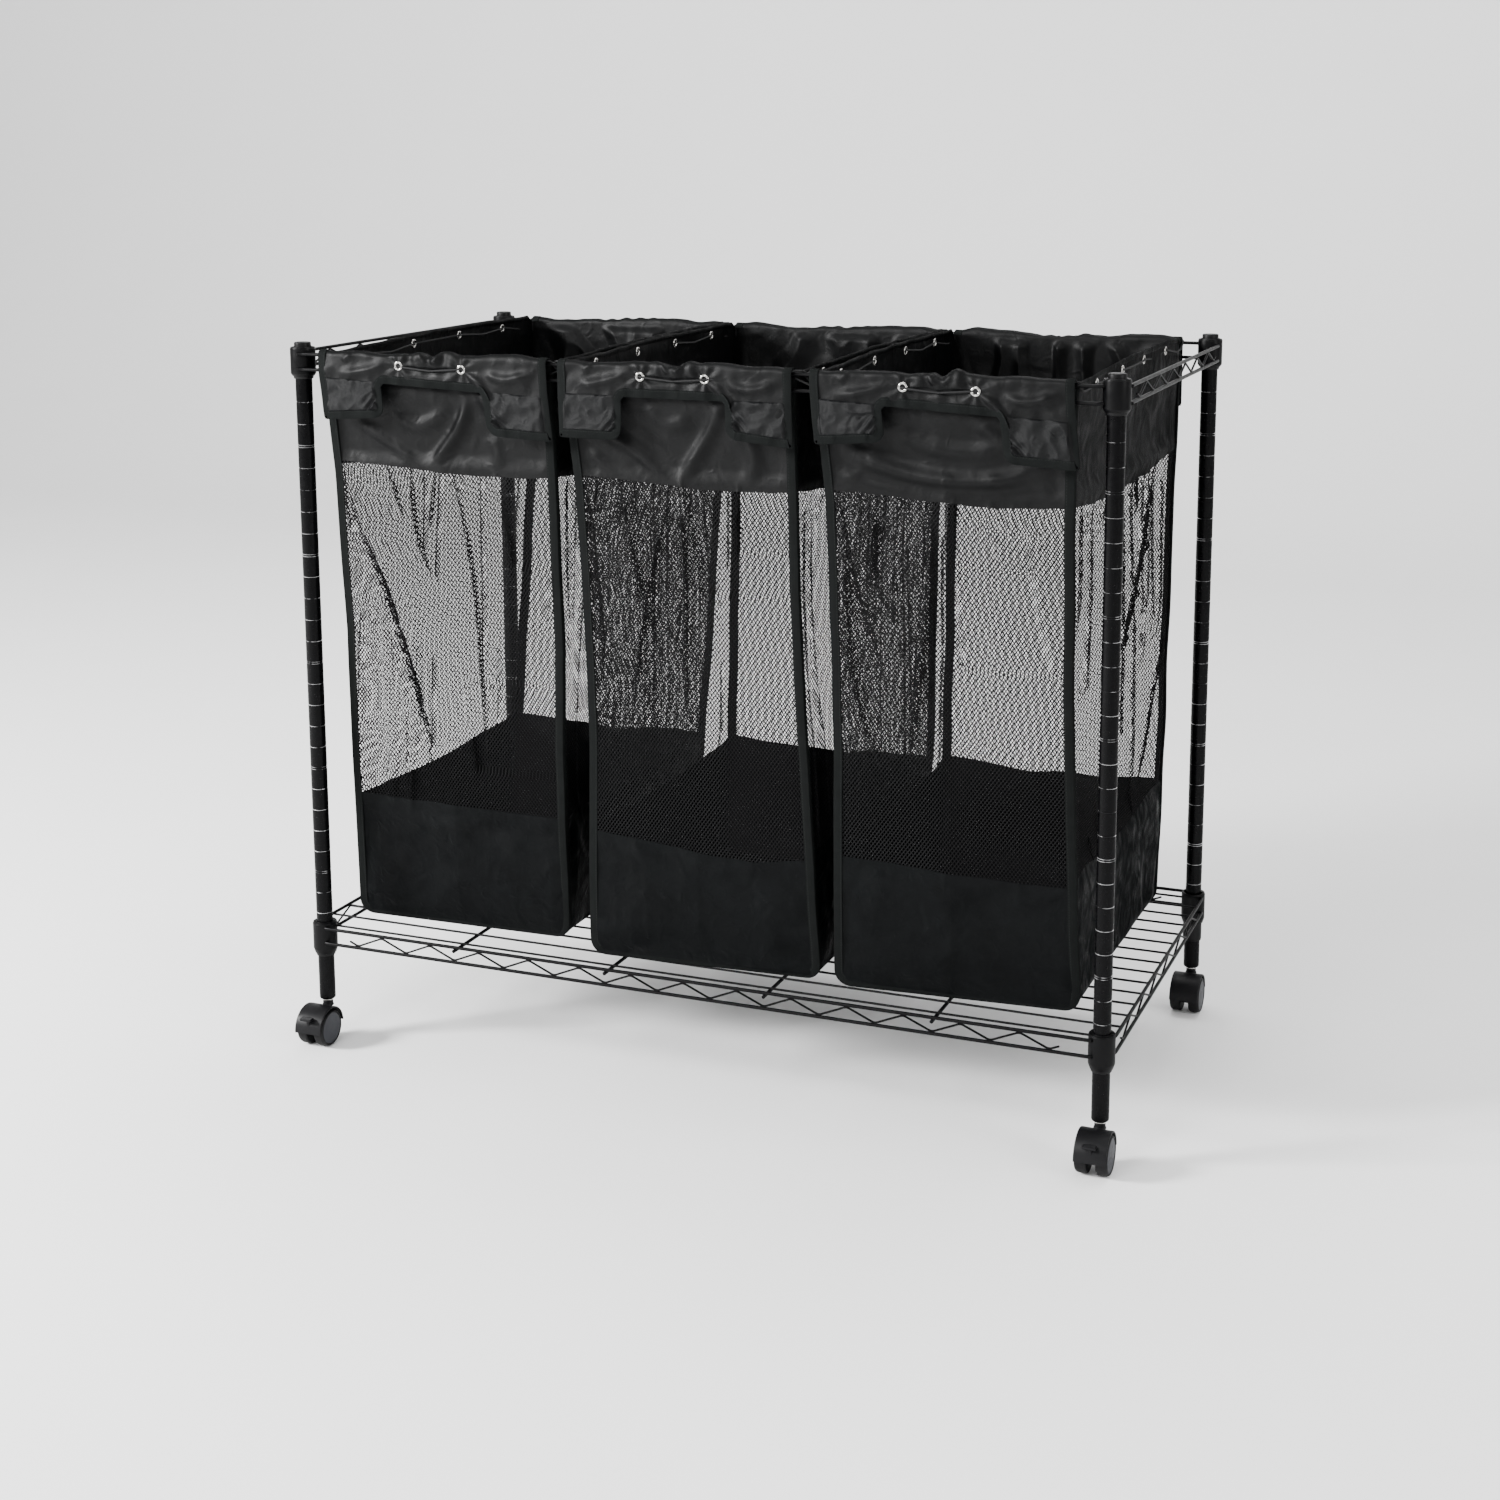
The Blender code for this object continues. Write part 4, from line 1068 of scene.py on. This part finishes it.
def leaf(bag, side, x, q, off=0.0):
    """Points of a flap: x across, q along the cloth from inside the rail, over it and down."""
    x, q = np.broadcast_arrays(np.asarray(x, float), np.asarray(q, float))
    cloth = np.stack([x, q], axis=-1)
    if side == "front":
        q = q + CUT_SLOPE[bag] * x * smooth((q - FOLD_LENGTH) / 0.020)
        inside = np.where(x < 0, x + HALF_X, HALF_X - x)
        q = q - np.where(x < 0, *TAB_TILT[bag]) * inside * smooth((q - LEAF_CUT) / 0.020)
    first, second, seed = SIDES[side]
    ax, ay = corner_xy(bag, first, RIM_Z)
    bx, by = corner_xy(bag, second, RIM_Z)
    length = math.hypot(bx - ax, by - ay)
    t = 0.5 + x / (2 * HALF_X)
    nx, ny = (by - ay) / length, -(bx - ax) / length
    angle = np.clip(q / FOLD_R, 0, math.pi)
    out = FOLD_R * (1 - np.cos(angle))
    rise = FOLD_R * np.sin(angle) + np.minimum(q, 0) - np.maximum(q - FOLD_LENGTH, 0)
    relief = leaf_relief(bag, side, x, q) * smooth(q / FOLD_LENGTH) + off
    edge = smooth((HALF_X - np.abs(x)) / 0.010) * 0.65 + 0.35
    relief = np.where(off == 0, relief * edge, (relief - off) * edge + off)
    wavy = 0.0030 if side == "front" else 0.0055
    lift = wavy * (0.25 + noise2(x * 24 + BAGS[bag], x * 0 + seed + 0.4, seed + 77))
    if side == "front":
        lift = lift - 0.0055 * np.exp(-(((x - 0.002) / 0.006) ** 2))
        lift = lift + 0.0030 * np.exp(-(((x - 0.017) / 0.009) ** 2))
    lift = np.clip(lift, -0.0026, 0.0065) * np.sin(angle) * smooth((HALF_X - np.abs(x)) / 0.03)
    shear = 0.008 * smooth((q - FOLD_LENGTH) / 0.10) * (side == "front") * (1 if bag != "middle" else 0.3)
    px = ax + (bx - ax) * t + nx * (out - relief * np.cos(angle)) + shear
    py = ay + (by - ay) * t + ny * (out - relief * np.cos(angle))
    pz = RIM_Z + rise + relief * np.sin(angle) + lift
    return np.stack([px, py, pz], axis=-1), cloth


def ribbon(pieces, line, inward, outward, profile):
    """A tape along a line of points: profile is (inwards, outwards) offsets."""
    along = lengths_along(line)
    rows = [line + inward * d + outward * h for d, h in profile]
    uvs = [np.stack([along, np.full(len(line), across)], axis=1) for across in lengths_along(profile)]
    pieces.grid(rows, uvs)


def frames_along(mapper, path, step=0.0004):
    """Points of a path on a sheet, with the unit directions into the sheet and out of its face."""
    tangent = directions(path)
    inner = np.stack([-tangent[:, 1], tangent[:, 0]], axis=1)
    line = mapper(path, 0.0)
    return line, units(mapper(path + inner * step, 0.0) - line), units(mapper(path, step) - line)


def dense(path, gap=0.004):
    """The same path with points at most this far apart."""
    path = np.asarray(path, float)
    lengths = lengths_along(path)
    at = np.linspace(0, lengths[-1], max(2, int(lengths[-1] / gap)))
    return np.stack([np.interp(at, lengths, path[:, k]) for k in range(path.shape[1])], axis=1)


# --- bag pieces ------------------------------------------------------------------
def band_edge(bag, side, u):
    """Height of the seam between band and net."""
    seed = SIDES[side][2] + BAGS[bag]
    dip = -0.004 * np.sin((u + 0.3) * 2.2) if side in ("front", "back") else -0.014 * (1 - u * u)
    return BAND_Z + 0.003 + dip + 0.0012 * noise2(u * 6, u * 0 + 0.5, seed)


def base_edge(bag, side, u):
    """Height of the seam between net and base."""
    seed = SIDES[side][2] + 3 * BAGS[bag]
    if side == "front":
        return np.interp(u, EDGE_AT, BASE_EDGES[bag]) + 0.0008 * noise2(u * 5, u * 0 + 0.5, seed)
    return BASE_Z - 0.003 * np.cos(u * math.pi) + 0.003 * noise2(u * 3, u * 0 + 0.5, seed + 9)


def columns(side, gap):
    """Places from -1 to 1 across a panel, about this far apart."""
    half = HALF_X if side in ("front", "back") else SIDE_HALF
    return np.linspace(-1, 1, int(2 * half / gap) + 1)


def make_band(bag, cloth):
    """The four band panels, the two flaps with their notches and the side hems, as one cloth."""
    pieces = Pieces()
    for side in SIDES:
        u = columns(side, 0.0020)
        rows = np.linspace(0, 1, 68)[:, None]
        edge = band_edge(bag, side, u)[None, :]
        z = edge + (RIM_Z - edge) * rows
        pieces.grid(*panel(bag, side, u[None, :] + 0 * z, z))
    for side in ("front", "back"):
        x = np.linspace(-HALF_X, HALF_X, 141)
        upper = np.linspace(0, LEAF_CUT, 40)[:, None]
        pieces.grid(*leaf(bag, side, x[None, :], upper))
        q = np.linspace(LEAF_CUT, LEAF_END, 28)[:, None]
        bulge = np.clip(q - (LEAF_END - TAB_ROUND), 0, TAB_ROUND)
        inner = NOTCH_HALF + TAB_ROUND - np.sqrt(TAB_ROUND ** 2 - bulge ** 2)
        for sign in (-1, 1):
            t = np.linspace(0, 1, 40)[None, :]
            pieces.grid(*leaf(bag, side, sign * (inner + (HALF_X - inner) * t), q + 0 * t))
    add_hems(pieces, bag)
    made = pieces.build(f"band_and_flaps_{bag}", [cloth], f"bag_{bag}_body", "bag_cloth", 60, WELD)
    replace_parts(made, f"bag_{bag}")
    return made


def add_hems(pieces, bag):
    """The turned-down rims of the two side panels."""
    hem = [(HEM, 0.0001), (HEM - 0.0003, 0.0005), (0.0004, 0.0007), (-0.0005, 0.0),
           (0.0004, -0.0007), (HEM - 0.0003, -0.0005), (HEM, -0.0001)]
    u, step = np.linspace(-0.985, 0.985, 160), 0.001
    for side in ("left", "right"):
        line, below, out = (panel(bag, side, u, z, off)[0]
                            for z, off in ((RIM_Z, 0.0), (RIM_Z - step, 0.0), (RIM_Z, step)))
        ribbon(pieces, line, units(below - line), (out - line) / step, hem)


def along_cloth(points, uvs):
    """Cloth coordinates measured along the folded cloth, so that pleats crowd the mesh."""
    lengths = np.cumsum(np.linalg.norm(np.diff(points, axis=1), axis=2), axis=1)
    lengths = np.concatenate([np.zeros((len(points), 1)), lengths], axis=1)
    middle = lengths[:, lengths.shape[1] // 2][:, None]
    return np.stack([lengths - middle, uvs[..., 1]], axis=-1)


def add_pleat(pieces, bag, side, line, width):
    """The two hidden layers of a pleat, doubled behind the net along a fold's line."""
    first, second, _ = SIDES[side]
    line = dense(line)
    x, z = line[:, :1], line[:, 1:]
    ends = [np.stack(corner_xy(bag, corner, z), axis=-1) for corner in (first, second)]
    half = np.linalg.norm(ends[1] - ends[0], axis=-1) / 2
    taper = np.minimum(1, np.linspace(0, 4, len(line))) * np.minimum(1, np.linspace(6, 0, len(line)))
    across = np.linspace(-1, 1, 5)[None, :] * (0.0008 + PLEAT_WIDTH * width * taper[:, None])
    for layer in PLEAT_LAYERS:
        points, uvs = panel(bag, side, (x + across) / half, z + 0 * across, layer)
        pieces.grid(points, uvs + PLEAT_SHIFT)


def make_net(bag, net):
    """The four net panels and their pleats."""
    pieces = Pieces()
    for side in SIDES:
        u = columns(side, 0.0015)
        rows = np.linspace(0, 1, 60)[:, None]
        low, high = base_edge(bag, side, u)[None, :], band_edge(bag, side, u)[None, :]
        z = low + (high - low) * rows
        points, uvs = panel(bag, side, u[None, :] + 0 * z, z, -0.0002)
        pieces.grid(points, along_cloth(points, uvs) * NET_FULLNESS[side])
        for line, width, _ in NET_FOLDS.get((bag, side), ()):
            add_pleat(pieces, bag, side, eased(line), width)
    return pieces.build(f"net_{bag}", [net], f"bag_{bag}_body", "bag_cloth", 80)


def base_heights(edge):
    """Rows from the seam down to the floor, close together round the foot."""
    straight = np.linspace(0, 1, 44)[:, None]
    top = FLOOR_Z + FOOT_R
    upper = edge + (top - edge) * straight
    turn = np.radians(np.linspace(0, 90, 9))[1:, None]
    lower = FLOOR_Z + FOOT_R * (1 - np.sin(turn)) + 0 * edge
    return np.concatenate([upper, lower])


def make_base(bag, cloth):
    """The four base panels and the floor, which swells a little."""
    pieces = Pieces()
    for side in SIDES:
        u = columns(side, 0.0026)
        z = base_heights(base_edge(bag, side, u)[None, :])
        pieces.grid(*panel(bag, side, u[None, :] + 0 * z, z))
    t = np.linspace(0, 1, 60)[None, :]
    s = np.linspace(0, 1, 90)[:, None]
    corners = np.array([corner_xy(bag, corner, FLOOR_Z) for corner in CORNERS])
    x, y = ((fl * (1 - t) + fr * t) * (1 - s) + (bl * (1 - t) + br * t) * s for fl, fr, bl, br in corners.T)
    rise = 0.0006 * (1 + noise2(x * 30, y * 30, 61 + BAGS[bag])) * 16 * t * (1 - t) * s * (1 - s)
    pieces.grid(np.stack([x, y, FLOOR_Z + rise], axis=-1), np.stack([x, y], axis=-1))
    return pieces.build(f"base_{bag}", [cloth], f"bag_{bag}_body", "bag_cloth", 60, WELD)


def seam_path():
    """Down one seam, along the foot and up the other, as (across, height) of a front or back panel."""
    top = RIM_Z - 0.001
    down = [(-1.0, z) for z in np.linspace(top, FLOOR_Z + FOOT_R, 150)]
    turn = [(-1.0, FLOOR_Z + FOOT_R * (1 - math.sin(a))) for a in np.radians(np.linspace(0, 90, 10))[1:]]
    foot = [(u, FLOOR_Z) for u in np.linspace(-1, 1, 60)[1:-1]]
    half = down + turn
    return half + foot + [(-u, z) for u, z in reversed(half)]


def make_tapes(bag, tape):
    """Binding round the corner seams and feet, and round the flaps."""
    pieces = Pieces()
    wrap = [(TAPE, 0.0002), (TAPE - 0.0004, 0.0009), (0.0006, 0.0013), (-0.0007, 0.0009),
            (-0.0011, -0.0006), (-0.0010, -0.0062), (-0.0003, -0.0066)]
    for side in ("front", "back"):
        path = np.array(seam_path())
        line, _ = panel(bag, side, path[:, 0], path[:, 1])
        first, second, _ = SIDES[side]
        ax, ay = corner_xy(bag, first, path[:, 1])
        bx, by = corner_xy(bag, second, path[:, 1])
        across = units(np.stack([bx - ax, by - ay, 0 * ax], axis=1))
        outward = np.stack([across[:, 1], -across[:, 0], 0 * ax], axis=1)
        tangent = np.gradient(line, axis=0)
        tangent -= outward * (tangent * outward).sum(1, keepdims=True)
        inward = np.cross(units(tangent), outward)
        if ((line.mean(axis=0) - line) * inward).sum() < 0:
            inward = -inward
        ribbon(pieces, line, inward, outward, wrap)
    flat = [(TAPE, 0.0001), (TAPE - 0.0004, 0.0008), (0.0006, 0.0010), (-0.0006, 0.0004),
            (-0.0006, -0.0005), (0.0006, -0.0009), (TAPE, -0.0006)]
    for side in ("front", "back"):
        ribbon(pieces, *frames_along(lambda p, off: leaf(bag, side, p[:, 0], p[:, 1], off)[0],
                                     dense(leaf_outline(), 0.0022)), flat)
    return pieces.build(f"bindings_{bag}", [tape], f"bag_{bag}_body", "bag_cloth", 50)


def leaf_outline():
    """The bound edge of a flap as (across, along), inner side to its left."""
    r = TAB_ROUND
    half = [(HALF_X, 0.0), (HALF_X, LEAF_END - 0.002), (HALF_X - 0.002, LEAF_END)]
    half += [(NOTCH_HALF + r - r * math.sin(a), LEAF_END - r + r * math.cos(a))
             for a in np.radians(range(0, 91, 15))]
    half += [(NOTCH_HALF, LEAF_CUT + 0.004), (NOTCH_HALF - 0.004, LEAF_CUT)]
    return half + [(-x, q) for x, q in reversed(half)]


def make_patches(bag, patch):
    """Matt patches sewn on the tabs, their upper edge stitched across."""
    pieces = Pieces()
    q0, q1 = LEAF_CUT - 0.001, LEAF_END - TAPE + 0.001
    x0, x1 = NOTCH_HALF + TAPE - 0.002, HALF_X - TAPE + 0.001
    across = np.linspace(x0, x1, 40)[None, :]
    q = np.linspace(q0, q1, 30)[:, None]
    rim = smooth(np.minimum(across - x0, x1 - across) / 0.0012) * smooth(np.minimum(q - q0, q1 - q) / 0.0012)
    corner = smooth((0.026 - (across - x0)) / 0.026) * smooth((q - q1 + 0.028) / 0.028)
    for side in ("front", "back"):
        for sign in (-1, 1):
            x = sign * across
            seed = 811 + BAGS[bag] * 7 + sign
            wrinkle = ridge(x * 45 + q * 30, q * 38 - x * 20, seed, 2.4, -math.inf)
            puff = 0.0003 + rim * (0.0009 + 0.0006 * noise2(x * 90, q * 70, seed) + 0.0016 * wrinkle)
            puff = puff + 0.0026 * corner * np.sin((across - q) * 2 * math.pi / 0.0105) * rim
            pieces.grid(*leaf(bag, side, x + 0 * q, q + 0 * x, puff))
    return pieces.build(f"patches_{bag}", [patch], f"bag_{bag}_body", "bag_cloth", 60)


def eyelet(pieces, at, outward):
    """A rolled ring set in the cloth, both faces."""
    outward = Vector(outward).normalized()
    side = outward.orthogonal().normalized()
    up = outward.cross(side)
    middle, tube_r = (EYELET_R + EYELET_HOLE_R) / 2, (EYELET_R - EYELET_HOLE_R) / 2
    rings = []
    for a in np.linspace(0, 2 * math.pi, 15):
        r = middle - tube_r * math.cos(a)
        h = 0.00115 * math.sin(a)
        rings.append([Vector(at) + (side * math.cos(b) + up * math.sin(b)) * r + outward * h
                      for b in 2 * math.pi * np.arange(28) / 28])
    pieces.grid(rings, wrap=True)


def make_eyelets(bag, nickel):
    """Two in each flap and four in each side."""
    pieces = Pieces()
    step = 0.001
    for side in ("front", "back"):
        for x in FLAP_EYELETS:
            q = FOLD_LENGTH + RIM_Z - EYELET_Z
            at, out = (leaf(bag, side, x, q, off)[0] for off in (0.0, step))
            eyelet(pieces, at, out - at)
    for side in ("left", "right"):
        for y in SIDE_EYELETS:
            u = y / PANEL_Y * (1 if side == "right" else -1)
            at, out = (panel(bag, side, u, EYELET_Z, off)[0] for off in (0.0, step))
            eyelet(pieces, at, out - at)
    return pieces.build(f"eyelets_{bag}", [nickel], f"bag_{bag}_body", "nickel", 60)


def make_cord(bag, cord):
    """The drawcord's route, in and out of the eyelets: a quarter, mirrored twice."""
    flap_out, flap_in = PANEL_Y + 2 * FOLD_R + 0.0004 + CORD_OFF, PANEL_Y + 2 * FOLD_R - CORD_OFF
    side_out, side_in = HALF_X + CORD_OFF, HALF_X - CORD_OFF
    rail_y = SPAN_Y / 2 + RAIL_OFFSET
    z, x0 = EYELET_Z, FLAP_EYELETS[0]
    y1, y2 = SIDE_EYELETS[:2]
    quarter = [
        (0, -flap_out, z - 0.0035), (x0 + 0.006, -flap_out, z - 0.0008), (x0, -flap_out + 0.0016, z),
        (x0 - 0.005, -flap_in, z), (-0.085, -flap_in, z), (-0.118, -flap_in, z + 0.0015),
        (-0.127, -rail_y - 0.0057, z + 0.0070), (-0.132, -rail_y - 0.0030, z + 0.0118),
        (-0.137, -rail_y - 0.0010, z + 0.0123), (-0.1422, -rail_y - 0.0005, z + 0.0122),
        (-0.1448, -rail_y + 0.0028, z + 0.0108), (-0.1440, -rail_y + 0.0075, z + 0.0055),
        (-side_out - 0.0006, -rail_y + 0.0150, z + 0.0010), (-side_out, -rail_y + 0.0300, z),
        (-side_out, y1 - 0.005, z), (-HALF_X, y1, z), (-side_in, y1 + 0.005, z),
        (-side_in, (y1 + y2) / 2, z - 0.0040), (-side_in, y2 - 0.005, z), (-HALF_X, y2, z),
        (-side_out, y2 + 0.005, z), (-side_out, 0, z - 0.0008),
    ]
    half = quarter + [(x, -y, h) for x, y, h in reversed(quarter[:-1])]
    loop = half + [(-x, y, h) for x, y, h in reversed(half[1:-1])]
    for i, (x, y, h) in enumerate(loop):
        if abs(y) < 0.20:  # beside the bag it rises with the eyelets
            side = "right" if x > 0 else "left"
            lifted = panel(bag, side, y / PANEL_Y * (1 if x > 0 else -1), EYELET_Z)[0][2] - EYELET_Z
            loop[i] = (x, y, h + float(lifted))
    pieces = Pieces()
    route = np.array(loop + loop[:1]) + (BAG_PITCH * BAGS[bag], CENTRE_Y, 0)
    wire(pieces, dense(rounded(route, 0.006), 0.003)[:-1], CORD_R, 10, closed=True)
    made = pieces.build(f"threaded_cord_{bag}", [cord], f"bag_{bag}_body", "cord", 60)
    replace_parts(made, f"drawcord_{bag}")
    return made


def make_bags():
    gloss = nylon_material("nylon_band", (0.0010, 0.0011, 0.0012), (0.0022, 0.0023, 0.0025),
                           0.12, 0.40, 0.54, 0.0022)
    # The lower cloth's wide spread from dark to light paints mottled sheen as lighter patches.
    dull = nylon_material("nylon_base", (0.0004, 0.0006, 0.0007), (0.0032, 0.0038, 0.0041),
                          0.055, 0.28, 0.62, 0.0034)
    net, tape, patch = net_material(), tape_material(), patch_material()
    nickel, cord = nickel_material(), cord_material()
    for bag in BAGS:
        sewn_on = [make_tapes(bag, tape), make_patches(bag, patch),
                   make_eyelets(bag, nickel), make_cord(bag, cord)]
        make_band(bag, gloss)
        make_net(bag, net)
        make_base(bag, dull)


# --- studio ----------------------------------------------------------------------
def area_light(name, at, target, size, power):
    """A rectangular light at a place, turned to a target."""
    data = bpy.data.lights.new(name, "AREA")
    data.shape = "RECTANGLE"
    data.size, data.size_y = size
    data.energy = power
    light = bpy.data.objects.new(name, data)
    light.location = at
    light.rotation_euler = (Vector(target) - Vector(at)).to_track_quat("-Z", "Y").to_euler()
    bpy.context.scene.collection.objects.link(light)


def make_studio():
    """A pale floor that curves up behind, a white world and four soft lights."""
    curve_y, curve_r = 3.0, 1.5
    rows = [(-6.0, 0.0), (curve_y, 0.0), (curve_y + curve_r, 7.0)]
    rows[2:2] = [(curve_y + curve_r * math.sin(a), curve_r - curve_r * math.cos(a))
                 for a in np.radians(range(10, 91, 10))]
    pieces = Pieces()
    pieces.grid([[(x, y, z) for x in np.linspace(-8, 8, 5)] for y, z in rows])
    mesh = bpy.data.meshes.new("studio_floor")
    mesh.from_pydata(np.concatenate(pieces.points).tolist(), [], pieces.faces)
    mesh.materials.append(floor_material())
    mesh.shade_smooth()
    floor = bpy.data.objects.new("studio_floor", mesh)
    bpy.context.scene.collection.objects.link(floor)
    world = bpy.data.worlds.new("studio")
    world.use_nodes = True
    sky = world.node_tree.nodes["Background"]
    sky.inputs["Color"].default_value = (1.0, 1.0, 1.0, 1.0)
    sky.inputs["Strength"].default_value = 1.0
    bpy.context.scene.world = world
    target = (0, 0, 0.45)
    area_light("key", (-3.1, -2.1, 2.0), target, (0.9, 0.9), 420)
    area_light("front", (-0.7, -3.0, 2.4), target, (1.1, 1.1), 60)
    area_light("fill", (3.2, -1.0, 1.6), target, (0.8, 1.4), 40)
    area_light("top", (0.2, 0.8, 3.2), target, (1.8, 1.2), 60)


def make_camera():
    data = bpy.data.cameras.new("camera")
    data.lens = LENS
    data.sensor_width = SENSOR
    data.shift_x, data.shift_y = SHIFT
    camera = bpy.data.objects.new("camera", data)
    camera.location = CAMERA_AT
    camera.rotation_euler = (math.radians(90 - CAMERA_PITCH), 0, math.radians(CAMERA_YAW))
    bpy.context.scene.collection.objects.link(camera)
    bpy.context.scene.camera = camera


def main():
    post_coat = coat_material("post_coat", 0.075, 0.30)
    wire_coat = coat_material("wire_coat", 0.10, 0.36)
    plastic = plastic_material("black_plastic", (0.0018, 0.0018, 0.0020), 0.36)
    hood_plastic = plastic_material("hood_plastic", (0.0035, 0.0035, 0.0040), 0.42)
    tread = plastic_material("wheel_tread", (0.0035, 0.0035, 0.0038), 0.50)
    face = plastic_material("wheel_face", (0.026, 0.027, 0.031), 0.40)
    make_posts(post_coat, groove_material(), plastic)
    make_sleeves(plastic)
    make_frame(wire_coat)
    make_casters(hood_plastic, tread, face, nickel_material())
    make_bags()
    make_studio()
    make_camera()


main()
